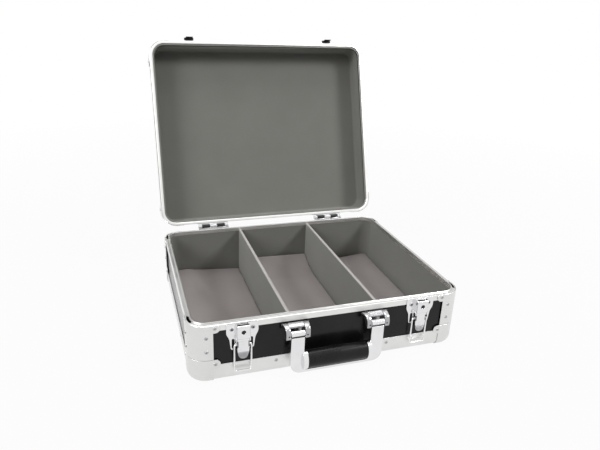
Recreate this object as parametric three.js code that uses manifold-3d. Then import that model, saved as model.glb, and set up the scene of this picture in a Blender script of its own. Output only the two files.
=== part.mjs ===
// Aluminium case for discs: black laminated boards held in aluminium trim, with a hinged lid.
// Lengths are in millimetres. +X is to the right, +Y to the rear and +Z up.
// The origin is the centre of the underside. The lid is drawn shut, then turned open on its hinges.

import * as THREE from 'three';
import { mergeVertices } from 'three/addons/utils/BufferGeometryUtils.js';
import Module from 'manifold-3d';

const wasm = await Module();
wasm.setup();

// Overall case
const caseWidth = 460;
const caseDepth = 372;
const partingHeight = 102;
const partingGap = 0.3;
const lidHeight = 57.7;
const lidOpenAngle = THREE.MathUtils.degToRad(108);
const cornerRadius = 30;
const edgeRadius = 15;

// Layers of the wall, from outside to inside
const capThickness = 1.2;
const trimThickness = 1.4;
const boardThickness = 4.8;
const feltThickness = 1.7;
const seatGap = 0.25;
const trimInset = capThickness + seatGap;
const boardInset = trimInset + trimThickness + seatGap;
const feltInset = boardInset + boardThickness + seatGap;
const innerInset = feltInset + feltThickness;

// Rims on both sides of the parting
const rimFlange = 10;
const rimWeb = 3.5;
const lidRimWeb = 4;
const rimInnerFlange = 5.5;
const tongueThickness = 2.4;
const tongueHeight = 2;
const tongueGap = 0.8;
const rimInner = boardInset + boardThickness + seatGap + trimThickness;
const tongueInset = rimInner - tongueThickness;
const cornerSlotStart = THREE.MathUtils.degToRad(10);
const cornerSlotEnd = THREE.MathUtils.degToRad(80);

// Boards
const boardEndInset = cornerRadius + 1;
const bottomBoardTop = 6;
const bottomSlabInset = 38;
const lidTop = partingHeight + partingGap + lidHeight;

// Edge trim
const edgeTrimRise = 33;
const edgeTrimReach = 29;
const lidBandDrop = 26;
const lidBandReach = 24;

// Corner caps
const baseCapLeg = 37.5;
const lidCapLeg = 43;
const capSeamHeight = 43;
const capSeamGap = 0.4;
const earRadius = 8;
const earInset = 40;
const lowerEarHeight = capSeamHeight - capSeamGap / 2 - earRadius;
const upperEarDrop = 5;

// Rivets and screws
const rivetRadius = 2.6;
const rivetTopShare = 0.6;
const rivetHeight = 0.9;
const rivetSink = 0.5;
const rivetInset = 27;
const plateRivetDrops = [20, 44];
const lidRivetRises = [14, 36];
const edgeRivetOffset = 95;
const edgeRivetHeight = 24.5;
const screwRadius = 3;

// Lining, floor pads and dividers
const padThickness = 3.5;
const padGap = 0.4;
const dividerThickness = 5;
const dividerTopDrop = 2;

// Latches
const latchPlayShare = 0.80986;
const latchPlateThickness = 1.5;
const latchTopDrop = 0.4;
const latchShoulderDrop = 18;
const latchWaistDrop = 26;
const latchBridgeDrop = 40;
const latchArmDrop = 45.5;
const latchTopHalf = 24.5;
const latchWaistHalf = 20;
const latchArmHalf = 17.6;
const latchArmInnerHalf = 10.8;
const latchFillet = 3;
const latchScrewOffset = 16.2;
const latchScrewDrop = 10;
const latchWindowOffset = 14.1;
const latchWindowRadius = 2.2;
const latchWindowTopDrop = 28.5;
const latchWindowBottomDrop = 41;
const housingHalf = 10;
const housingDepth = 10;
const housingTopDrop = 0.8;
const housingBottomDrop = 23;
const housingFillet = 1.5;
const slotHalf = 8.8;
const slotDepth = 3.5;
const slotFrontWall = 2.2;
const slotFloorDrop = 5.8;
const cylinderDrop = 11.5;
const cylinderRadius = 3.3;
const cylinderLength = 6.5;
const cylinderGap = 0.4;
const keywayHalf = 0.9;
const keywayLength = 4.4;
const keywayDepth = 3;
const leverPivotDrop = 26.5;
const leverPivotStandoff = 5;
const leverHalf = 9.1;
const leverBarrelRadius = 3;
const leverTabThickness = 1.8;
const leverTabOffset = 0.5;
const leverShoulderDrop = 46.5;
const leverTipDrop = 58.5;
const leverTipHalf = 5;
const leverTipFillet = 4.5;
const leverThumbDrop = 47.5;
const leverThumbProud = 1.4;
const leverCheekThickness = 1.7;
const leverCheekDepth = 4;
const leverCheekEndDrop = 38.5;
const leverPinRadius = 1.3;
const pinGap = 0.35;
const plateCheekThickness = 1.5;
const plateCheekGap = 0.5;
const plateCheekRadius = 3.2;
const bailDrop = 35;
const bailStandoff = 3.4;
const bailHalf = 13.1;
const bailWireRadius = 1.45;
const bailCrossDrop = 82;
const bailFootBend = 3;
const bailCornerBend = 3.4;
const bailGap = 0.4;

// Catches on the lid
const catchHalf = 14;
const catchRise = 1.5;
const catchTopRise = 26;
const catchHookHalf = 9.4;
const catchHookDepth = 7.4;
const catchHookThickness = 1.4;
const catchLipHeight = 5;
const catchScrewRise = 20;
const catchScrewOffset = 8;
const noseHalf = 7;
const noseThickness = 1.2;
const noseReach = 3.2;

// Carrying handle
const handleOffset = 66.5;
const bracketHalf = 21.8;
const bracketNoseHalf = 19.4;
const bracketTopDrop = 12;
const bracketBarDrop = 15.5;
const bracketBottomDrop = 35;
const bracketTongueHalf = 10.2;
const bracketFillet = 3;
const bracketThickness = 1.8;
const bracketEarInner = 11.7;
const bracketHoodThickness = 3;
const bracketHoodReach = 9;
const bracketHoodFall = 2.2;
const bracketScrewDrops = [20.5, 30.5];
const handlePinInset = 0.4;
const handlePivotDrop = 24;
const handlePivotStandoff = 16;
const handlePinRadius = 2.4;
const armHalf = 11;
const armThickness = 8;
const armBarrelRadius = 4.6;
const handleBarDrop = 94;
const handleBarThickness = 5;
const handleCornerRadius = 17;
const handleInnerRadius = 5;
const gripHalfLength = 50;
const gripHalfDepth = 12.5;
const gripHalfHeight = 15.3;
const gripGap = 0.4;
const gripFlangeDepth = 11.4;
const gripFlangeHeight = 15.8;

// Outline of a bracket's ear about the handle's axis, as distances outwards and upwards from it
const earFront = [[-4, 11.6], [1, 9.4], [3.8, 5], [4.6, 0], [4.1, -6.6], [2.6, -8]];
const earBack = [[-2.8, -8], [-3.6, -4], [-4.4, 0.6], [-7, 5.2], [-11, 8]];

// Hinges
const hingeEndDistance = 103;
const hingeHalf = 31;
const hingeStandoff = 6.85;
const hingeRise = 3.7;
const hingeLeafThickness = 1.5;
const hingeLeafLength = 22;
const hingeKnuckleRadius = 3.6;
const hingePinRadius = 1.5;
const hingeCentreHalf = 7;
const hingeEndWidth = 7;
const hingeKnuckleGap = 0.5;
const hingeStopLength = 7.5;
const hingeStopGap = 0.3;
const hingeScrewOffset = 20;
const hingeScrewInset = 7;

// Cuts run this far past what they cut
const overrun = 4;

// Facets
const arcSteps = 6;
const edgeSteps = 4;
const filletSteps = 3;
const pinSides = 14;
const rivetSides = 8;
const wireSides = 6;
const wireSteps = 52;
const ovalSteps = 20;

const front = -caseDepth / 2 + trimInset;
const rear = caseDepth / 2 - trimInset;
const lidBase = partingHeight + partingGap;
const hingeAxisY = rear + hingeStandoff;
const hingeAxisZ = partingHeight + hingeRise;
const hingeOffset = caseWidth / 2 - hingeEndDistance;
const latchNearest = handleOffset + bracketHalf + latchTopHalf;
const latchFurthest = caseWidth / 2 - earInset - earRadius - latchTopHalf;
const latchOffset = latchNearest + latchPlayShare * (latchFurthest - latchNearest);

const finishes = {
  trim: new THREE.MeshStandardMaterial({ color: 0xd4d6d8, roughness: 0.42, metalness: 1 }),
  cap: new THREE.MeshStandardMaterial({ color: 0xcfd1d4, roughness: 0.38, metalness: 1 }),
  laminate: new THREE.MeshStandardMaterial({ color: 0x242427, roughness: 0.5, metalness: 0 }),
  lining: new THREE.MeshStandardMaterial({ color: 0x77766f, roughness: 0.95, metalness: 0 }),
  pad: new THREE.MeshStandardMaterial({ color: 0x7d726f, roughness: 0.95, metalness: 0 }),
  chrome: new THREE.MeshStandardMaterial({ color: 0xe6e7ea, roughness: 0.18, metalness: 1 }),
  steel: new THREE.MeshStandardMaterial({ color: 0xc4c6c9, roughness: 0.3, metalness: 1 }),
  plug: new THREE.MeshStandardMaterial({ color: 0x2a2927, roughness: 0.35, metalness: 1 }),
  grip: new THREE.MeshStandardMaterial({ color: 0x17171a, roughness: 0.45, metalness: 0 }),
};

/** A closed geometry as a solid that can be cut and joined. */
function toSolid(geometry) {
  const bare = geometry.clone();
  bare.deleteAttribute('normal');
  bare.deleteAttribute('uv');
  const merged = mergeVertices(bare);
  return new wasm.Manifold(new wasm.Mesh({
    numProp: 3,
    vertProperties: new Float32Array(merged.attributes.position.array),
    triVerts: new Uint32Array(merged.index.array),
  }));
}

/** A named mesh from a solid. */
function piece(name, solid, material) {
  const data = solid.getMesh();
  const geometry = new THREE.BufferGeometry();
  geometry.setAttribute('position', new THREE.BufferAttribute(data.vertProperties, 3));
  geometry.setIndex(new THREE.BufferAttribute(data.triVerts, 1));
  geometry.computeVertexNormals();
  const mesh = new THREE.Mesh(geometry, material);
  mesh.name = name;
  return mesh;
}

/** All the solids of a list joined into one. */
function joined(solids) {
  return solids.reduce((whole, solid) => whole.add(solid));
}

/** A box between two corners given as ranges along X, Y and Z. */
function box([lowX, highX], [lowY, highY], [lowZ, highZ]) {
  const geometry = new THREE.BoxGeometry(highX - lowX, highY - lowY, highZ - lowZ);
  geometry.translate((lowX + highX) / 2, (lowY + highY) / 2, (lowZ + highZ) / 2);
  return toSolid(geometry);
}

/** A range that lies on the given side of the middle, from the near to the far distance. */
function sideRange(side, near, far) {
  return side > 0 ? [near, far] : [-far, -near];
}

// Axes of a flat outline drawn in the plane across X, Y or Z
const acrossX = new THREE.Matrix4().makeBasis(
  new THREE.Vector3(0, 1, 0), new THREE.Vector3(0, 0, 1), new THREE.Vector3(1, 0, 0));
const acrossY = new THREE.Matrix4().makeBasis(
  new THREE.Vector3(1, 0, 0), new THREE.Vector3(0, 0, 1), new THREE.Vector3(0, -1, 0));
const acrossZ = new THREE.Matrix4();

/** An outline extruded across an axis, from low to high along it. */
function prism(points, across, [low, high]) {
  const shape = new THREE.Shape(points);
  const geometry = new THREE.ExtrudeGeometry(shape, { depth: high - low, bevelEnabled: false, steps: 1 });
  geometry.translate(0, 0, across === acrossY ? -high : low);
  geometry.applyMatrix4(across);
  return toSolid(geometry);
}

/** Points of an arc, from one angle to another, both ends included. */
function arc([centreX, centreY], radiusX, from, to, steps, radiusY = radiusX) {
  const points = [];
  for (let step = 0; step <= steps; step += 1) {
    const angle = from + (to - from) * (step / steps);
    points.push(new THREE.Vector2(centreX + radiusX * Math.cos(angle), centreY + radiusY * Math.sin(angle)));
  }
  return points;
}

/** A round bar across an axis, about a centre in its outline's plane. */
function bar(centre, radius, across, range, sides = pinSides) {
  return prism(arc(centre, radius, 0, 2 * Math.PI * (1 - 1 / sides), sides - 1), across, range);
}

/** A corner-rounded polygon. Each entry is [x, y, radius]. */
function softened(entries) {
  const corners = entries.map(([x, y]) => new THREE.Vector2(x, y));
  return corners.flatMap((corner, index) => {
    const radius = entries[index][2] ?? 0;
    if (radius === 0) return [corner];
    const before = corners[(index + corners.length - 1) % corners.length].clone().sub(corner).normalize();
    const after = corners[(index + 1) % corners.length].clone().sub(corner).normalize();
    const reach = radius / Math.tan(Math.acos(before.dot(after)) / 2);
    const start = corner.clone().addScaledVector(before, reach);
    const end = corner.clone().addScaledVector(after, reach);
    return new THREE.QuadraticBezierCurve(start, corner, end).getPoints(filletSteps);
  });
}

/** Outline of the case in plan at a distance in from its widest face, counter-clockwise. */
function planOutline(inset) {
  const radius = cornerRadius - inset;
  const reachX = caseWidth / 2 - cornerRadius;
  const reachY = caseDepth / 2 - cornerRadius;
  return [[1, 1], [-1, 1], [-1, -1], [1, -1]].flatMap(([signX, signY], quarter) => arc(
    [signX * reachX, signY * reachY], radius,
    quarter * Math.PI / 2, (quarter + 1) * Math.PI / 2, arcSteps));
}

/** A closed geometry from an array of points and one of corner numbers. */
function closedGeometry(points, corners) {
  const geometry = new THREE.BufferGeometry();
  geometry.setAttribute('position', new THREE.BufferAttribute(new Float32Array(points), 3));
  geometry.setIndex(corners);
  return geometry;
}

/** A solid through a stack of plan outlines, each level given as [inset, height]. */
function stack(levels) {
  const points = [];
  const corners = [];
  let count = 0;
  levels.forEach(([inset, height], level) => {
    const outline = planOutline(inset);
    count = outline.length;
    outline.forEach((point) => points.push(point.x, point.y, height));
    if (level === 0) return;
    for (let index = 0; index < count; index += 1) {
      const next = (index + 1) % count;
      const below = (level - 1) * count;
      const above = level * count;
      corners.push(below + index, below + next, above + next, below + index, above + next, above + index);
    }
  });
  const last = (levels.length - 1) * count;
  for (let index = 1; index < count - 1; index += 1) {
    corners.push(0, index + 1, index, last, last + index, last + index + 1);
  }
  return toSolid(closedGeometry(points, corners));
}

/** A closed ring whose profile, in [inset, height], follows the plan of the case. */
function ring(profile) {
  const points = [];
  const corners = [];
  const count = planOutline(0).length;
  profile.forEach(([inset, height], row) => {
    planOutline(inset).forEach((point) => points.push(point.x, point.y, height));
    const here = row * count;
    const there = ((row + 1) % profile.length) * count;
    for (let index = 0; index < count; index += 1) {
      const next = (index + 1) % count;
      corners.push(here + index, here + next, there + next, here + index, there + next, there + index);
    }
  });
  return toSolid(closedGeometry(points, corners));
}

/** Levels of a rounded edge between a flat face and the upright wall; up is 1 or -1. */
function roundedLevels(inset, height, up) {
  const radius = edgeRadius - inset;
  const levels = [];
  for (let step = 0; step <= edgeSteps; step += 1) {
    const angle = (Math.PI / 2) * (step / edgeSteps);
    levels.push([inset + radius * (1 - Math.sin(angle)), height + up * radius * (1 - Math.cos(angle))]);
  }
  return levels;
}

/** The case as a solid block whose lower edge is rounded. */
function roundBelow(inset, low, high) {
  return stack([...roundedLevels(inset, low, 1), [inset, high]]);
}

/** The case as a solid block whose upper edge is rounded. */
function roundAbove(inset, low, high) {
  return stack([[inset, low], ...roundedLevels(inset, high, -1).reverse()]);
}

/** A plate on the trim, with a pad behind it where it stands over the recessed board. */
function steppedPlate(outline, thickness, boardSide) {
  const plate = prism(outline, acrossY, [-seatGap - thickness, -seatGap]);
  const pad = prism(outline, acrossY, [-seatGap - thickness, boardInset - trimInset - seatGap]);
  const reach = caseWidth;
  const trimEdge = rimFlange + seatGap;
  const overBoard = boardSide > 0 ? [trimEdge, reach] : [-reach, -trimEdge];
  return plate.add(pad.intersect(box([-reach, reach], [-reach, reach], overBoard)));
}

/** A domed fastener head on a face across Y, standing out towards -Y. */
function headOnFront([x, faceY, z], radius = rivetRadius) {
  const height = rivetHeight + rivetSink;
  const geometry = new THREE.CylinderGeometry(radius, radius * rivetTopShare, height, rivetSides);
  geometry.translate(x, faceY + rivetSink - height / 2, z);
  return toSolid(geometry);
}

/** A domed fastener head on one of the outer walls of the case. */
function headOnWall(wall, along, faceInset, z) {
  const height = rivetHeight + rivetSink;
  const geometry = new THREE.CylinderGeometry(rivetRadius * rivetTopShare, rivetRadius, height, rivetSides);
  const middle = rivetHeight - height / 2;
  if (wall.axis === 'x') {
    geometry.rotateZ(-wall.side * Math.PI / 2);
    geometry.translate(wall.side * (caseWidth / 2 - faceInset + middle), along, z);
  } else {
    geometry.rotateX(wall.side > 0 ? 0 : Math.PI);
    geometry.translate(along, wall.side * (caseDepth / 2 - faceInset + middle), z);
  }
  return toSolid(geometry);
}

const walls = [
  { name: 'front', axis: 'y', side: -1 },
  { name: 'rear', axis: 'y', side: 1 },
  { name: 'left', axis: 'x', side: -1 },
  { name: 'right', axis: 'x', side: 1 },
];

const cornerSigns = [
  { name: 'front_left', x: -1, y: -1 },
  { name: 'front_right', x: 1, y: -1 },
  { name: 'rear_left', x: -1, y: 1 },
  { name: 'rear_right', x: 1, y: 1 },
];

/** Half of the case along a wall, and the distance from the middle to that wall. */
function wallReach(wall) {
  return wall.axis === 'y'
    ? { along: caseWidth / 2, out: caseDepth / 2 }
    : { along: caseDepth / 2, out: caseWidth / 2 };
}

/** A box that stands along one wall, between two insets and two heights. */
function wallBox(wall, endInset, [outerInset, innerInsetValue], heights) {
  const { along, out } = wallReach(wall);
  const length = [-(along - endInset), along - endInset];
  const across = sideRange(wall.side, out - innerInsetValue, out - outerInset);
  return wall.axis === 'y' ? box(length, across, heights) : box(across, length, heights);
}

/** A board of one wall, shaped to the rounded edge that it runs into. */
function wallBoard(wall, heights, block) {
  const board = wallBox(wall, boardEndInset, [boardInset, boardInset + boardThickness], heights);
  return board.intersect(block);
}

/** The floor board: a slab that lies flush with the underside, and its rebated border. */
function bottomPanel() {
  const block = roundBelow(boardInset, boardInset, edgeTrimRise);
  const reach = caseWidth;
  const border = block.intersect(box([-reach, reach], [-reach, reach], [0, bottomBoardTop]));
  const slabX = caseWidth / 2 - bottomSlabInset;
  const slabY = caseDepth / 2 - bottomSlabInset;
  return border.add(box([-slabX, slabX], [-slabY, slabY], [0, (boardInset + bottomBoardTop) / 2]));
}

/** One straight length of rounded edge trim under a wall of the base, with its rivets. */
function bottomEdge(wall) {
  const { along, out } = wallReach(wall);
  const half = along - boardEndInset;
  const centre = [edgeRadius, edgeRadius];
  const outer = arc(centre, edgeRadius - trimInset, Math.PI, 1.5 * Math.PI, edgeSteps);
  const inner = arc(centre, edgeRadius - trimInset - trimThickness, 1.5 * Math.PI, Math.PI, edgeSteps);
  const profile = [
    new THREE.Vector2(trimInset, edgeTrimRise), ...outer,
    new THREE.Vector2(edgeTrimReach, trimInset),
    new THREE.Vector2(edgeTrimReach, trimInset + trimThickness), ...inner,
    new THREE.Vector2(trimInset + trimThickness, edgeTrimRise),
  ];
  const placed = profile.map((point) => new THREE.Vector2(wall.side * (out - point.x), point.y));
  if (wall.side > 0) placed.reverse();
  const strip = wall.axis === 'y'
    ? prism(placed, acrossX, [-half, half])
    : prism(placed, acrossY, [-half, half]);
  const offset = edgeRivetOffset * (along / (caseWidth / 2));
  const rivets = [-1, 1].map((end) => headOnWall(wall, end * offset, trimInset, edgeRivetHeight));
  return joined([strip, ...rivets]);
}

/** The ear of a corner cap on one wall, as the space that it fills. */
function earSpace(corner, wall, height) {
  const { along, out } = wallReach(wall);
  const endSign = wall.axis === 'y' ? corner.x : corner.y;
  const depth = sideRange(wall.side, out - trimInset, out + overrun);
  const middle = endSign * (along - earInset);
  const foot = sideRange(endSign, along - earInset, along - baseCapLeg + overrun);
  const heights = [height - earRadius, height + earRadius];
  if (wall.axis === 'y') {
    return bar([middle, height], earRadius, acrossY, depth).add(box(foot, depth, heights));
  }
  return bar([middle, height], earRadius, acrossX, depth).add(box(depth, foot, heights));
}

/** The two walls that meet at a corner. */
function wallsAt(corner) {
  return walls.filter((wall) => wall.side === (wall.axis === 'y' ? corner.y : corner.x));
}

/** The space of a corner cap: its legs on both walls between two heights. */
function capSpace(corner, leg, heights) {
  const rangeX = sideRange(corner.x, caseWidth / 2 - leg, caseWidth / 2 + overrun);
  const rangeY = sideRange(corner.y, caseDepth / 2 - leg, caseDepth / 2 + overrun);
  return box(rangeX, rangeY, heights);
}

/** Rivet heads of a corner cap, on both of its walls. */
function capRivets(corner, inset, heights) {
  return wallsAt(corner).flatMap((wall) => heights.map((height) => {
    const { along } = wallReach(wall);
    const endSign = wall.axis === 'y' ? corner.x : corner.y;
    return headOnWall(wall, endSign * (along - inset), 0, height);
  }));
}

/** A pressed lower corner cap: three rounded faces and two riveted ears. */
function ballCorner(corner) {
  const high = partingHeight;
  const shell = roundBelow(0, 0, high).subtract(roundBelow(capThickness, capThickness, high + overrun));
  const top = capSeamHeight - capSeamGap / 2;
  const reach = caseWidth;
  const below = box([-reach, reach], [-reach, reach], [-overrun, lowerEarHeight + earRadius]);
  const ears = wallsAt(corner).map((wall) => earSpace(corner, wall, lowerEarHeight));
  const space = joined([capSpace(corner, baseCapLeg, [-overrun, top]), ...ears]).intersect(below);
  return joined([shell.intersect(space), ...capRivets(corner, earInset, [lowerEarHeight])]);
}

/** A bent upright corner plate above the ball corner, with riveted ears over the rim. */
function cornerPlate(corner) {
  const bottom = capSeamHeight + capSeamGap / 2;
  const shell = ring([
    [0, bottom], [0, partingHeight], [capThickness, partingHeight], [capThickness, bottom],
  ]);
  const earHeight = partingHeight - upperEarDrop;
  const ears = wallsAt(corner).map((wall) => earSpace(corner, wall, earHeight));
  const space = joined([capSpace(corner, baseCapLeg, [bottom, partingHeight]), ...ears]);
  const rivets = capRivets(corner, rivetInset, plateRivetDrops.map((drop) => partingHeight - drop));
  return joined([shell.intersect(space), ...rivets, ...capRivets(corner, earInset, [earHeight])]);
}

/** A pressed corner cap of the lid, from the parting to the rounded top. */
function lidCorner(corner) {
  const shell = roundAbove(0, lidBase, lidTop)
    .subtract(roundAbove(capThickness, lidBase - overrun, lidTop - capThickness));
  const space = capSpace(corner, lidCapLeg, [lidBase, lidTop + overrun]);
  return joined([
    shell.intersect(space),
    ...capRivets(corner, lidCapLeg - earRadius, lidRivetRises.map((rise) => lidBase + rise)),
  ]);
}

/** The base's rim: a channel over the boards, with a raised tongue and slots at its bends. */
function baseRim() {
  const top = partingHeight;
  const inside = rimInner - trimThickness;
  const outside = trimInset + trimThickness;
  const body = ring([
    [trimInset, top - rimFlange], [trimInset, top], [tongueInset, top], [tongueInset, top + tongueHeight],
    [rimInner, top + tongueHeight], [rimInner, top - rimInnerFlange], [inside, top - rimInnerFlange],
    [inside, top - rimWeb], [outside, top - rimWeb], [outside, top - rimFlange],
  ]);
  const slots = cornerSigns.map((corner) => {
    const quarter = Math.atan2(corner.y, corner.x) - Math.PI / 4;
    const centre = [
      corner.x * (caseWidth / 2 - cornerRadius), corner.y * (caseDepth / 2 - cornerRadius),
    ];
    const wide = arc(centre, cornerRadius - outside,
      quarter + cornerSlotStart, quarter + cornerSlotEnd, arcSteps);
    const narrow = arc(centre, cornerRadius - tongueInset,
      quarter + cornerSlotEnd, quarter + cornerSlotStart, arcSteps);
    return prism([...wide, ...narrow], acrossZ, [top - rimWeb - overrun, top + overrun]);
  });
  return body.subtract(joined(slots));
}

/** The lid's rim: a channel over the boards, with a step that clears the tongue. */
function lidRim() {
  const step = lidBase + tongueHeight + partingGap;
  const inside = rimInner - trimThickness;
  const outside = trimInset + trimThickness;
  const stepInset = tongueInset - tongueGap;
  return ring([
    [trimInset, lidBase], [stepInset, lidBase], [stepInset, step], [rimInner, step],
    [rimInner, lidBase + rimInnerFlange + tongueHeight], [inside, lidBase + rimInnerFlange + tongueHeight],
    [inside, lidBase + lidRimWeb], [outside, lidBase + lidRimWeb],
    [outside, lidBase + rimFlange], [trimInset, lidBase + rimFlange],
  ].reverse());
}

/** The rounded trim round the top of the lid. */
function lidEdgeBand() {
  const low = lidTop - lidBandDrop;
  const inner = trimInset + trimThickness;
  const reach = caseWidth;
  const outerBlock = roundAbove(trimInset, low, lidTop - trimInset);
  const innerBlock = roundAbove(inner, low - overrun, lidTop - inner);
  const openX = caseWidth / 2 - lidBandReach;
  const openY = caseDepth / 2 - lidBandReach;
  const opening = box([-openX, openX], [-openY, openY], [low - overrun, reach]);
  return outerBlock.subtract(innerBlock).subtract(opening);
}

/** The lid's top board, shaped to the rounded trim above it. */
function lidTopPanel() {
  const top = lidTop - boardInset;
  const reach = caseWidth;
  const block = roundAbove(boardInset, lidBase, top);
  return block.intersect(box([-reach, reach], [-reach, reach], [top - boardThickness, top]));
}

/** The lining round the inner walls of the base. */
function baseLining() {
  const low = bottomBoardTop + seatGap;
  const high = partingHeight - rimInnerFlange - seatGap;
  return ring([[feltInset, low], [feltInset, high], [innerInset, high], [innerInset, low]]);
}

/** The lining of the lid: its walls and its top in one piece. */
function lidLining() {
  const low = lidBase + rimInnerFlange + tongueHeight + seatGap;
  const high = lidTop - boardInset - boardThickness - seatGap;
  const outer = stack([[feltInset, low], [feltInset, high]]);
  return outer.subtract(stack([[innerInset, low - overrun], [innerInset, high - feltThickness]]));
}

const innerHalfX = caseWidth / 2 - innerInset;
const innerHalfY = caseDepth / 2 - innerInset;
const compartmentWidth = (2 * innerHalfX - 2 * dividerThickness) / 3;
const dividerOffset = (compartmentWidth + dividerThickness) / 2;
const floorLow = bottomBoardTop + seatGap;

/** A divider board between two compartments. */
function divider(side) {
  const middle = side * dividerOffset;
  return box(
    [middle - dividerThickness / 2, middle + dividerThickness / 2],
    [-(innerHalfY - padGap), innerHalfY - padGap], [floorLow, partingHeight - dividerTopDrop]);
}

/** A loose pad on the floor of the compartment at a place counted from the middle one. */
function floorPad(place) {
  const middle = place * (compartmentWidth + dividerThickness);
  const half = compartmentWidth / 2 - padGap;
  const heights = [floorLow, floorLow + padThickness];
  const rough = box([middle - half, middle + half], [-(innerHalfY - padGap), innerHalfY - padGap], heights);
  return rough.intersect(stack([[innerInset + padGap, floorLow - overrun],
    [innerInset + padGap, floorLow + padThickness + overrun]]));
}

const plateFace = -seatGap - latchPlateThickness;
const leverPivotY = plateFace - leverPivotStandoff;
const bailPivotY = plateFace - bailStandoff;
const housingFront = plateFace - housingDepth;

/** The latch plate with its arms, windows, lock housing and the cheeks that carry the lever. */
function latchPlate() {
  const half = (sign) => [
    [sign * latchTopHalf, -latchTopDrop, latchFillet],
    [sign * latchTopHalf, -latchShoulderDrop, latchFillet],
    [sign * latchWaistHalf, -latchWaistDrop, latchFillet],
    [sign * latchArmHalf, -latchArmDrop, latchFillet],
    [sign * latchArmInnerHalf, -latchArmDrop, latchFillet / 2],
    [sign * latchArmInnerHalf, -latchBridgeDrop, 0],
  ];
  const outline = softened([...half(1), ...half(-1).reverse()]).reverse();
  const plate = steppedPlate(outline, latchPlateThickness, -1);
  const housing = prism(softened([
    [-housingHalf, -housingTopDrop, housingFillet], [-housingHalf, -housingBottomDrop, housingFillet],
    [housingHalf, -housingBottomDrop, housingFillet], [housingHalf, -housingTopDrop, housingFillet],
  ]), acrossY, [housingFront, plateFace + latchPlateThickness / 2]);
  const cheekInner = leverHalf + plateCheekGap;
  const cheeks = [-1, 1].map((side) => {
    const range = sideRange(side, cheekInner, cheekInner + plateCheekThickness);
    const foot = box(range, [leverPivotY, plateFace + latchPlateThickness / 2],
      [-leverPivotDrop - plateCheekRadius, -leverPivotDrop + plateCheekRadius]);
    return foot.add(bar([leverPivotY, -leverPivotDrop], plateCheekRadius, acrossX, range));
  });
  const screws = [-1, 1].map((side) => (
    headOnFront([side * latchScrewOffset, plateFace, -latchScrewDrop], screwRadius)));
  const through = [plateFace - overrun, boardInset + overrun];
  const windows = [-1, 1].map((side) => {
    const middle = side * latchWindowOffset;
    return prism([
      ...arc([middle, -latchWindowTopDrop], latchWindowRadius, 0, Math.PI, filletSteps + 1),
      ...arc([middle, -latchWindowBottomDrop], latchWindowRadius, Math.PI, 2 * Math.PI, filletSteps + 1),
    ], acrossY, through);
  });
  const slotFront = housingFront + slotFrontWall;
  const slot = box([-slotHalf, slotHalf], [slotFront, slotFront + slotDepth], [-slotFloorDrop, overrun]);
  const bore = bar([0, -cylinderDrop], cylinderRadius + cylinderGap, acrossY,
    [housingFront - overrun, housingFront + cylinderLength + cylinderGap]);
  const pinHole = bar([leverPivotY, -leverPivotDrop], leverPinRadius + pinGap, acrossX,
    [-latchTopHalf, latchTopHalf]);
  return joined([plate, housing, ...screws]).subtract(joined([...windows, slot, bore]))
    .add(joined(cheeks)).subtract(pinHole);
}

/** The key plug, with its keyway. */
function lockCylinder() {
  const plug = bar([0, -cylinderDrop], cylinderRadius, acrossY,
    [housingFront + cylinderGap, housingFront + cylinderLength]);
  const keyway = box([-keywayHalf, keywayHalf],
    [housingFront - overrun, housingFront + keywayDepth],
    [-cylinderDrop - keywayLength / 2, -cylinderDrop + keywayLength / 2]);
  return plug.subtract(keyway);
}

/** The thumb lever: its barrel, tab, thumb piece and the cheeks that carry the bail. */
function latchLever() {
  const tabBack = leverPivotY - leverTabOffset;
  const tabFront = tabBack - leverTabThickness;
  const tab = prism(softened([
    [-leverHalf, -leverPivotDrop, 0], [-leverHalf, -leverShoulderDrop, leverTipFillet],
    [-leverTipHalf, -leverTipDrop, leverTipFillet], [leverTipHalf, -leverTipDrop, leverTipFillet],
    [leverHalf, -leverShoulderDrop, leverTipFillet], [leverHalf, -leverPivotDrop, 0],
  ]), acrossY, [tabFront, tabBack]);
  const thumb = prism(softened([
    [-leverHalf, -leverThumbDrop, 0],
    [-leverTipHalf, -leverTipDrop, leverTipFillet], [leverTipHalf, -leverTipDrop, leverTipFillet],
    [leverHalf, -leverThumbDrop, 0],
  ]), acrossY, [tabFront - leverThumbProud, tabBack]);
  const barrel = bar([leverPivotY, -leverPivotDrop], leverBarrelRadius, acrossX, [-leverHalf, leverHalf]);
  const cheeks = [-1, 1].map((side) => box(
    sideRange(side, leverHalf - leverCheekThickness, leverHalf),
    [tabFront, leverPivotY + leverCheekDepth], [-leverCheekEndDrop, -leverPivotDrop]));
  const pinHole = bar([leverPivotY, -leverPivotDrop], leverPinRadius + pinGap, acrossX,
    [-latchTopHalf, latchTopHalf]);
  const bailHole = bar([bailPivotY, -bailDrop], bailWireRadius + bailGap, acrossX,
    [-latchTopHalf, latchTopHalf]);
  return joined([tab, thumb, barrel, ...cheeks]).subtract(pinHole).subtract(bailHole);
}

/** The lever's axle, which the plate's cheeks hold. */
function latchPin() {
  const half = leverHalf + plateCheekGap + plateCheekThickness;
  return bar([leverPivotY, -leverPivotDrop], leverPinRadius, acrossX, [-half, half]);
}

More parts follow.
